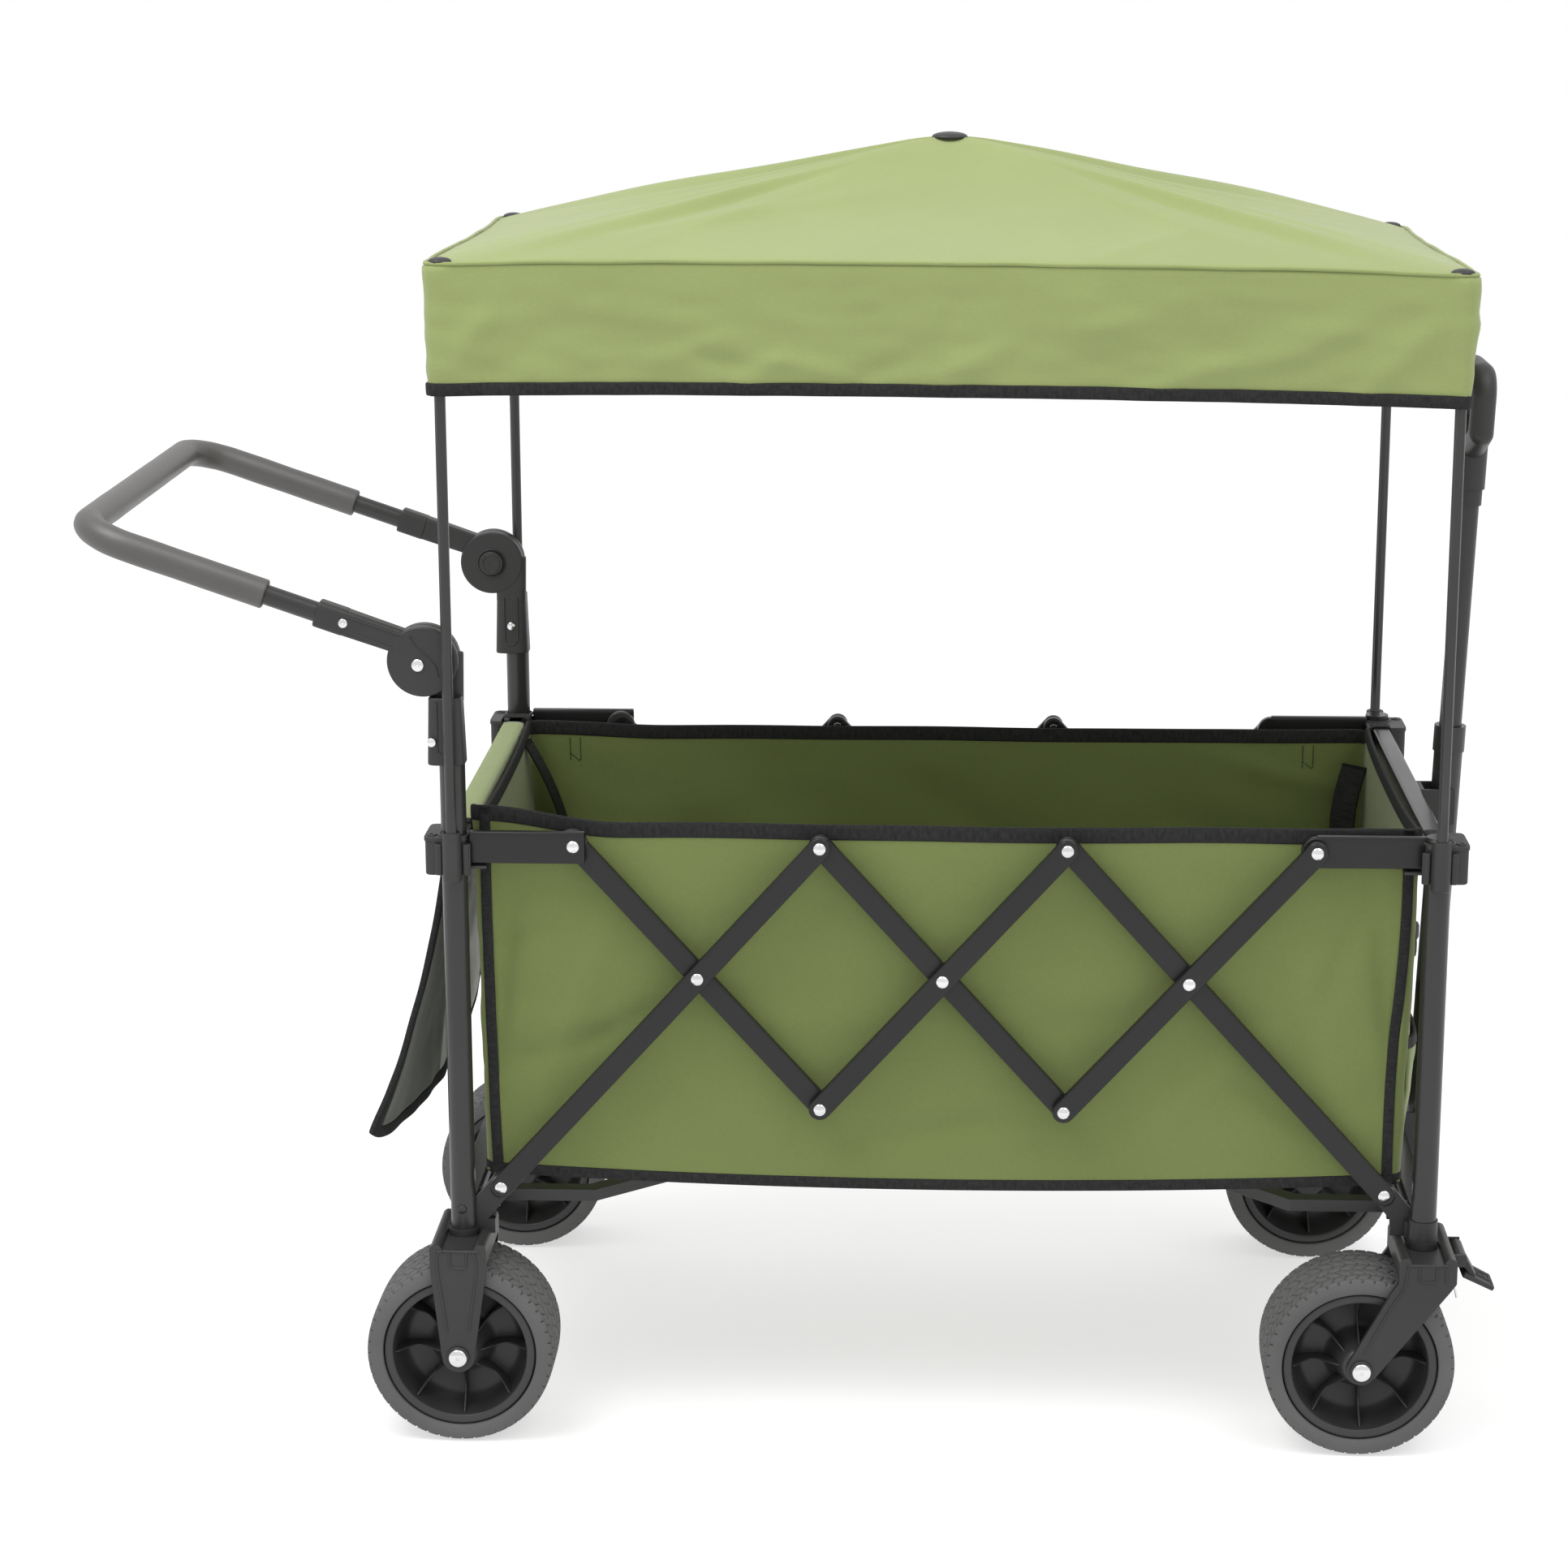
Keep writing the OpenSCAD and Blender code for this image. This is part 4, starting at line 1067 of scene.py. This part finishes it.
def push_line(s, up, y):
    """A point on the push bar: s along it from the pivot, up across it."""
    c, k = math.cos(PUSH_RISE), math.sin(PUSH_RISE)
    return Vector((hub.x - s * c + up * k, y, hub.z + s * k + up * c))


def washer(name, inner, outer, a, b, centre, axis="Y", steps=48):
    """A square-edged ring between two radii and two heights."""
    return lathe(name, [(inner, a), (outer, a), (outer, b), (inner, b)], centre, axis, steps)


def disc(name, x, z, y_from, y_to, r, edge=2.2 * MM):
    """A flat disc about a line along Y, with round edges."""
    a, b = min(y_from, y_to), max(y_from, y_to)
    turns = [math.pi / 2 * k / 4 for k in range(5)]
    rounded = [(r - edge * (1 - math.sin(t)), edge * (1 - math.cos(t))) for t in turns]
    profile = [(.5 * MM, b)] + [(p, b - q) for p, q in rounded] + [(p, a + q) for p, q in reversed(rounded)]
    profile += [(.5 * MM, a)]
    return lathe(name, profile, (x, 0, z), "Y", 72)


def build_push_bar():
    """An arm on each side: disc, sleeve, mouth and pressed lines, with its bright pivot pin and screw."""
    for side, name in SIDES:
        y = side * post_y
        outer = side * (post_y + 11 * MM)
        face = side * (post_y + 10.6 * MM)
        arm_disc = disc("arm_disc", hub.x, hub.z, side * (post_y - 1 * MM), outer, HUB_R)
        sleeve = block("sleeve", push_line(6 * MM, 10 * MM, y), push_line(84 * MM, 10 * MM, y), Y_AXIS,
                       10.2 * MM, 11.4 * MM, 5, 2 * MM, 11.2 * MM, 12.2 * MM)
        mouth = block("mouth", push_line(78 * MM, 10 * MM, y), push_line(107 * MM, 10 * MM, y), Y_AXIS,
                      11.8 * MM, 12.8 * MM, 4, 2 * MM)
        turns = [math.pi * k / 10 for k in range(11)]
        nose = [(80 + 6.4 * math.sin(t), 10.4 + 6.4 * math.cos(t)) for t in turns]
        outline = in_mm([(24, 17.5), (74, 17)] + nose + [(74, 4), (30, 3)])
        edge = tube("slot", [push_line(s, up, face) for s, up in outline], 1.0 * MM, 8)
        curve = ease([(-10.5, 24), (-6, 15), (6, 5), (13, -4), (15, -14)])
        seam = tube("seam", [(hub.x + a * MM, outer, hub.z + b * MM) for a, b in curve], .8 * MM, 8)
        arm = join(arm_disc, [sleeve, mouth, edge, seam])
        arm.name = f"push_arm_{name}"
        finish_piece(arm, moulded, "push_bar", ["push_arms"])
        spot = (hub.x - 4 * MM, outer - side * .4 * MM, hub.z - 3 * MM)
        pin = dome(f"push_pivot_{name}", spot, Y_AXIS * side, 6.2 * MM, 3.4 * MM)
        finish_piece(pin, steel, "push_bar")
        spot = push_line(80 * MM, 10.4 * MM, side * (post_y + 10.9 * MM))
        screw = dome(f"push_screw_{name}", spot, Y_AXIS * side, 4.4 * MM, 1.8 * MM)
        finish_piece(screw, steel, "push_bar")
        build_hub_base(side, name)


def build_hub_base(side, name):
    """The fixed half of a push bar pivot: a disc with a sleeve that grips the post, its button and screw."""
    width = 17.5 * MM
    middle = -post_x - 22 * MM + width
    y, inner, neck_y = side * (post_y - 1.25 * MM), side * (post_y - 15 * MM), side * (post_y - 8.2 * MM)
    foot = low("push_hub_bases").z
    pivot = (hub.x, 0, hub.z)
    fixed = disc("fixed_disc", hub.x, hub.z, inner, side * (post_y - 1.6 * MM), HUB_R)
    sleeve = block("sleeve", (middle, y, foot), (middle, y, foot + 64 * MM), X_AXIS,
                   width, 13.8 * MM, 5, 1.6 * MM, 15.5 * MM, 13.6 * MM)
    neck = block("neck", (middle, neck_y, foot + 56 * MM), (middle + 1 * MM, neck_y, hub.z + 6 * MM), X_AXIS,
                 15.5 * MM, 6.6 * MM, 5, 2 * MM)
    outline = in_mm([(-7, 60), (-7, 14), (-3, 10), (3, 10), (7, 14), (7, 60)])
    lines = [tube("line", [(middle + a, y + face * 13.7 * MM, foot + b) for a, b in outline], .9 * MM, 8)
             for face in (-1, 1)]
    rim = washer("rim", 13.6 * MM, 15.2 * MM, inner - .9 * MM, inner + .9 * MM, pivot)
    base = join(fixed, [sleeve, neck, rim] + lines)
    base.name = f"push_hub_base_{name}"
    finish_piece(base, moulded, "rear_frame", ["push_hub_bases"])
    button = disc("button", hub.x, hub.z, side * (post_y - 20 * MM), side * (post_y - 14 * MM),
                  12.6 * MM, 1.2 * MM)
    ring = washer("ring", 8.4 * MM, 9.6 * MM, side * (post_y - 20.4 * MM), side * (post_y - 19 * MM), pivot)
    button = join(button, [ring])
    button.name = f"hub_button_cap_{name}"
    finish_piece(button, moulded, f"hub_button_{name}", [f"hub_button_{name}"])
    screw = dome(f"hub_screw_{name}", (middle, inner, foot + 30 * MM), Y_AXIS * -side, 4.4 * MM, 1.8 * MM)
    finish_piece(screw, steel, "rear_frame")


def build_grip():
    """The foam sleeve on the push bar, one swept tube with soft ends."""
    start, end, r, bend = 158 * MM, 338 * MM, 14 * MM, 48 * MM
    half = post_y - bend
    quarter = [(mix(start, end - bend, k / 9), -post_y) for k in range(10)]
    for k in range(1, 12):
        t = math.pi / 2 * k / 12
        quarter.append((end - bend + bend * math.sin(t), -half - bend * math.cos(t)))
    path = quarter + [(end, mix(-half, half, k / 24)) for k in range(25)]
    path += [(s, -y) for s, y in quarter[::-1]]
    points = [push_line(s, 10 * MM, y) for s, y in path]
    up = push_line(0, 1, 0) - push_line(0, 0, 0)
    rings, n = [], len(points)
    for i, p in enumerate(points):
        ahead = (points[min(n - 1, i + 1)] - points[max(0, i - 1)]).normalized()
        side = ahead.cross(up).normalized()
        swell = r + .35 * MM * ripple(i * .05, 0, 9, 2.0)
        rings.append((p, side, side.cross(ahead), swell, swell, 2.0))
    caps = []
    for (p, side, across, swell, _, power), inward in ((rings[0], points[1]), (rings[-1], points[-2])):
        away = (p - inward).normalized()
        caps.append([(p + away * out * MM, side, across, swell - inset * MM, swell - inset * MM, power)
                     for out, inset in ((.8, .7), (1.6, 2.4))])
    grip = loft("push_grip_foam", caps[0][::-1] + rings + caps[1], 28)
    soften(grip, 0)
    finish_piece(grip, foam, "push_bar", ["push_grip"])


def build_collars():
    """The sliding collars: a ribbed block round the post with a socket for the canopy pole."""
    top, foot = collar_high.z, collar_low.z + 3 * MM
    arm_z = (rail_low.z + rail_high.z) / 2 - 17 * MM
    socket = [(5.4 * MM, foot - 4 * MM), (8.2 * MM, foot - 4 * MM), (9 * MM, foot - 3 * MM),
              (9 * MM, top + 5.5 * MM), (8.4 * MM, top + 6.2 * MM), (5.4 * MM, top + 6.2 * MM)]
    post_ring = [(post_r(), top - 1 * MM), (15.4 * MM, top - 1 * MM), (15.4 * MM, top + .5 * MM),
                 (14.4 * MM, top + 1.2 * MM), (post_r(), top + 1.2 * MM)]
    for d, side, place, name in CORNERS:
        x, post = d * (post_x + 7 * MM), d * post_x
        y_out, y_in = side * (post_y + 13 * MM), side * (post_y - 38 * MM)
        y_mid, half_y = (y_out + y_in) / 2, abs(y_out - y_in) / 2
        body = block("body", (x, y_mid, foot), (x, y_mid, top - 3 * MM), X_AXIS, 19.6 * MM, half_y, 9, 2 * MM)
        parts = [block("plate", (x, y_mid, top - 4.5 * MM), (x, y_mid, top), X_AXIS,
                       20.4 * MM, half_y + .8 * MM, 9, 1 * MM)]
        for rib_x in (post - 12.5 * MM, post + 12.5 * MM):
            for step in (0, 1):
                y = side * (post_y + 13.2 * MM) + side * step * 1.6 * MM
                parts.append(block("rib", (rib_x, y, foot + 1 * MM), (rib_x, y, top - 6 * MM), X_AXIS,
                                   (4.4 - step * 1.5) * MM, 2.2 * MM, 4, 1.2 * MM))
        parts.append(lathe("socket", socket, (post, side * pole_y, 0), "Z", 40))
        parts.append(lathe("post_ring", post_ring, (post, side * post_y, 0), "Z", 48))
        parts.append(washer("screw_hole", 2.6 * MM, 4.8 * MM, top - 1 * MM, top + .9 * MM,
                            (x + d * 13 * MM, y_out - side * 9 * MM, 0), "Z", 28))
        collar = join(body, parts)
        collar.name = f"{place}_collar_block_{name}"
        finish_piece(collar, moulded, f"{place}_slide", [f"{place}_collars"])
        layer = side * (254.8 if d < 0 else 246) * MM
        cheek = block(f"{place}_collar_cheek_{name}", (d * (post_x - 31 * MM), layer, arm_z),
                      (d * (post_x + 2 * MM), layer, arm_z), Y_AXIS, 9 * MM, 1.6 * MM, 6, .8 * MM)
        finish_piece(cheek, moulded, f"{place}_slide")


def post_r():
    """The posts' radius, a hair larger."""
    return (high("front_posts").x - low("front_posts").x) / 2 + .3 * MM


def build_poles():
    """The canopy poles: extruded tubes with four flutes, and a cup under the canopy."""
    section = []
    for k in range(40):
        a = TAU * k / 40
        r = 5.1 * MM
        for flute in (.38, .82, 1.18, 1.62):
            gone = (a / math.pi - flute + 1) % 2 - 1
            r -= .75 * MM * math.exp(-(gone / .045) ** 2)
        section.append((r * math.cos(a), r * math.sin(a)))
    bottom = low("canopy_poles_front").z
    for d, side, place, name in CORNERS:
        x, y = d * post_x, side * pole_y
        top = roof_height(x, y) - 6 * MM
        frames = [(Vector((x, y, mix(bottom, top, k / 8))), X_AXIS, Y_AXIS) for k in range(9)]
        cup = block("cup", (x, y, top - 7 * MM), (x, y, top - 1 * MM), X_AXIS, 7.5 * MM, 7.5 * MM, 2, 1 * MM)
        pole = join(sweep("pole", frames, section, False, .5), [cup])
        pole.name = f"canopy_pole_{place}_{name}"
        finish_piece(pole, pole_paint, f"canopy_{place}", [f"canopy_poles_{place}"])


def build_short_arms():
    """The flat tubes between the collars and the links; the rear ones end square, over a round spacer."""
    lo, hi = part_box("rear_arms")
    front_lo, front_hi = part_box("front_arms")
    z, half, thick = (lo.z + hi.z) / 2, (hi.z - lo.z) / 2, 4.5 * MM
    for side, name in SIDES:
        y = side * (hi.y - thick)
        x0, x1 = lo.x + 1 * MM, hi.x - 3 * MM
        arm = block(f"rear_arm_tube_{name}", (x0, y, z), (x1, y, z), Y_AXIS, thick, half, 7, 1.2 * MM)
        finish_piece(arm, link_paint, "rear_short_arms", ["rear_arms"])
        y = side * 249.5 * MM
        spacer = disc("spacer", x1 - 13 * MM, z, y + side * 4 * MM, y - side * 4 * MM, 15 * MM, 1.6 * MM)
        spacer.name = f"rear_arm_spacer_{name}"
        finish_piece(spacer, moulded, "link_a")
        x0, x1 = front_lo.x + 14 * MM, front_hi.x + 3 * MM
        bar = block("bar", (x0, y, z), (x1, y, z), Y_AXIS, thick, half, 7, 1.2 * MM)
        bar = join(bar, [disc("end", x0, z, y - thick, y + thick, 14 * MM, 1.4 * MM)])
        bar.name = f"front_arm_tube_{name}"
        finish_piece(bar, link_paint, "front_short_arms", ["front_arms"])


LINK_WIDTH = 21 * MM


def build_links():
    """The scissor links: flat oval tubes with rounded edges and round plugs in their ends."""
    half = LINK_WIDTH / 2
    for index, letter in enumerate("abcdef"):
        node = frame["nodes"][f"links_{letter}"]
        lo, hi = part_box(f"links_{letter}")
        face = min(abs((node.matrix_world @ v.co).y) for v in node.data.vertices)
        thick, middle = (hi.y - face) / 2, (hi.y + face) / 2
        left, right = lo.x + half, hi.x - half
        z_left, z_right = (lo.z + half, hi.z - half) if index % 2 else (hi.z - half, lo.z + half)
        for side, name in SIDES:
            y = side * middle
            bar = block("bar", (left, y, z_left), (right, y, z_right), Y_AXIS, thick, half, 8, 1 * MM)
            plugs = [disc("plug", x, z, y - thick + .15 * MM, y + thick - .15 * MM, half, 2.2 * MM)
                     for x, z in ((left, z_left), (right, z_right))]
            bar = join(bar, plugs)
            bar.name = f"link_tube_{letter}_{name}"
            finish_piece(bar, link_paint, f"link_{letter}", [f"links_{letter}"])


def build_pedals():
    """A brake pedal: a steep toe plate and a flatter pad with a raised square and grip lines."""
    pin_x, pin_z = low("brake_pedal_near").x + 6 * MM, high("brake_pedal_near").z - 6 * MM
    ahead, up = Vector((.893, 0, -.45)), Vector((.45, 0, .893))
    for side, name in SIDES:
        y = side * post_y
        barrel = disc("barrel", pin_x, pin_z, y - 20 * MM, y + 20 * MM, 6 * MM, 1 * MM)
        toe = block("toe", (pin_x + 1 * MM, y, pin_z + 2 * MM), (pin_x + 13 * MM, y, pin_z - 20 * MM), Y_AXIS,
                    13 * MM, 3.4 * MM, 6, 1.5 * MM, 16 * MM, 3.4 * MM)
        start = Vector((pin_x + 3 * MM, y, pin_z - 16 * MM))
        pad = block("pad", start, start + ahead * 33 * MM, Y_AXIS,
                    19.5 * MM, 3 * MM, 6, 1.5 * MM, 17.5 * MM, 2.6 * MM)
        parts = [toe, pad]
        middle = start + ahead * 20 * MM + up * 2.9 * MM
        for half in (8 * MM, 4.2 * MM):
            corners = [rounded_rectangle(k / 32, half, half, 1.2 * MM)[0] for k in range(32)]
            ring = [middle + ahead * a + Y_AXIS * b for a, b in corners]
            parts.append(tube("square", ring, .8 * MM, 8, closed=True))
        for k in range(7):
            line = start + ahead * 31 * MM + up * 2.6 * MM + Y_AXIS * (k - 3) * 4 * MM
            parts.append(tube("grip_line", [line, line - ahead * 2.4 * MM], .7 * MM, 6))
        pedal = join(barrel, parts)
        pedal.name = f"brake_toe_plate_{name}"
        finish_piece(pedal, moulded, f"brake_{name}", [f"brake_pedal_{name}"])
        y -= 9 * MM
        hook = block(f"brake_link_{name}", (pin_x - 8 * MM, y, pin_z - 12 * MM),
                     (pin_x - 1 * MM, y, pin_z - 42 * MM), Y_AXIS, 3.4 * MM, 1.1 * MM, 5, .6 * MM)
        finish_piece(hook, steel, f"caster_{name}")


def ease(points, parts=5):
    """Cuts the corners of a line, so that it bends smoothly."""
    out = [points[0]]
    for i in range(1, len(points) - 1):
        a, b, c = (Vector(p) for p in points[i - 1:i + 2])
        reach = min((b - a).length, (c - b).length) * .45
        start, end = b + (a - b).normalized() * reach, b + (c - b).normalized() * reach
        for k in range(parts + 1):
            t = k / parts
            out.append(tuple(start * (1 - t) ** 2 + b * 2 * t * (1 - t) + end * t ** 2))
    return out + [points[-1]]


# ---------------------------------------------------------------- the CAD pieces that stay

PAINT = {"tube": tube_paint, "rivet": steel, "fitting": moulded}
ROUND_EDGES = {"rear_feet": 1.6, "front_feet": 1.6, "caster_fork_near": 1.6, "caster_fork_far": 1.6,
               "handle_clip": 1.2, "handle_bracket": 1.0, "rear_rail": 2.5, "front_rail": 2.5,
               "rear_crossbar": 2.0, "front_crossbar": 2.0, "floor_bars_rear": 1.5, "floor_bars_front": 1.5,
               "pull_outer": .6}


def finish_frame():
    """Paints every CAD piece that nothing replaces and rounds its edges, by the millimetres above."""
    for part in frame["record"]["subparts"]:
        node = frame["nodes"][part["node"]]
        slot = part.get("material_slot")
        if node.hide_render or slot not in PAINT:
            continue
        node.data.materials.clear()
        node.data.materials.append(PAINT[slot])
        node.data.polygons.foreach_set("use_smooth", [True] * len(node.data.polygons))
        soften(node, ROUND_EDGES.get(part["node"], .4) * MM)


# ---------------------------------------------------------------- floor, lights and camera

LAMPS = (("key", (-1.6, -1.2, 3.9), 2.2, 85), ("fill", (1.8, -1.4, 3.9), 2.6, 45))
LAMP_TARGET = Vector((0, 0, .6))


def build_stage():
    """A plain pale floor, a white surround and two soft lamps above the near side."""
    bpy.ops.mesh.primitive_plane_add(size=14, location=(0, 0, -0.5 * MM))
    floor = bpy.context.object
    floor.name = "studio_floor"
    n = Nodes("studio_floor")
    mottle = n.colours(n.noise(n.place(), 2.0), (.46, .46, .46), (.49, .49, .49))
    n.link(mottle, n.shader.inputs["Base Color"])
    n.shader.inputs["Roughness"].default_value = .9
    n.shader.inputs["Emission Color"].default_value = (1, 1, 1, 1)
    n.shader.inputs["Emission Strength"].default_value = .56
    floor.data.materials.append(n.material)
    bpy.context.scene.view_settings.view_transform = "Standard"
    world = bpy.data.worlds.new("studio")
    bpy.context.scene.world = world
    world.use_nodes = True
    background = world.node_tree.nodes["Background"]
    background.inputs["Color"].default_value = (1, 1, 1, 1)
    background.inputs["Strength"].default_value = 1.0
    for name, place, size, power in LAMPS:
        lamp = bpy.data.lights.new(name, "AREA")
        lamp.size = size
        lamp.energy = power
        obj = bpy.data.objects.new(name, lamp)
        obj.location = place
        obj.rotation_euler = (LAMP_TARGET - Vector(place)).to_track_quat("-Z", "Y").to_euler()
        bpy.context.scene.collection.objects.link(obj)


CAMERA_PLACE = (.006, -3.4645, 1.4413)
YAW, PITCH, ROLL = -0.048, -0.243, -0.003


def build_camera():
    """The photo's viewpoint: in front of the near side, above the basket, looking a little down."""
    data = bpy.data.cameras.new("camera")
    data.lens = 82.0
    data.sensor_width = 36
    ahead = Vector((math.sin(YAW) * math.cos(PITCH), math.cos(YAW) * math.cos(PITCH), math.sin(PITCH)))
    right = Vector((math.cos(YAW), -math.sin(YAW), 0))
    up = right.cross(ahead)
    right, up = right * math.cos(ROLL) + up * math.sin(ROLL), up * math.cos(ROLL) - right * math.sin(ROLL)
    obj = bpy.data.objects.new("camera", data)
    turn = Matrix((right, up, -ahead)).transposed().to_4x4()
    obj.matrix_world = Matrix.Translation(CAMERA_PLACE) @ turn
    bpy.context.scene.collection.objects.link(obj)
    bpy.context.scene.camera = obj


for build in (build_stage, build_camera, build_canopy, build_basket, build_flap, build_pockets, build_straps,
              build_wheels, build_push_bar, build_grip, build_collars, build_poles, build_short_arms,
              build_links, build_pedals, finish_frame):
    build()
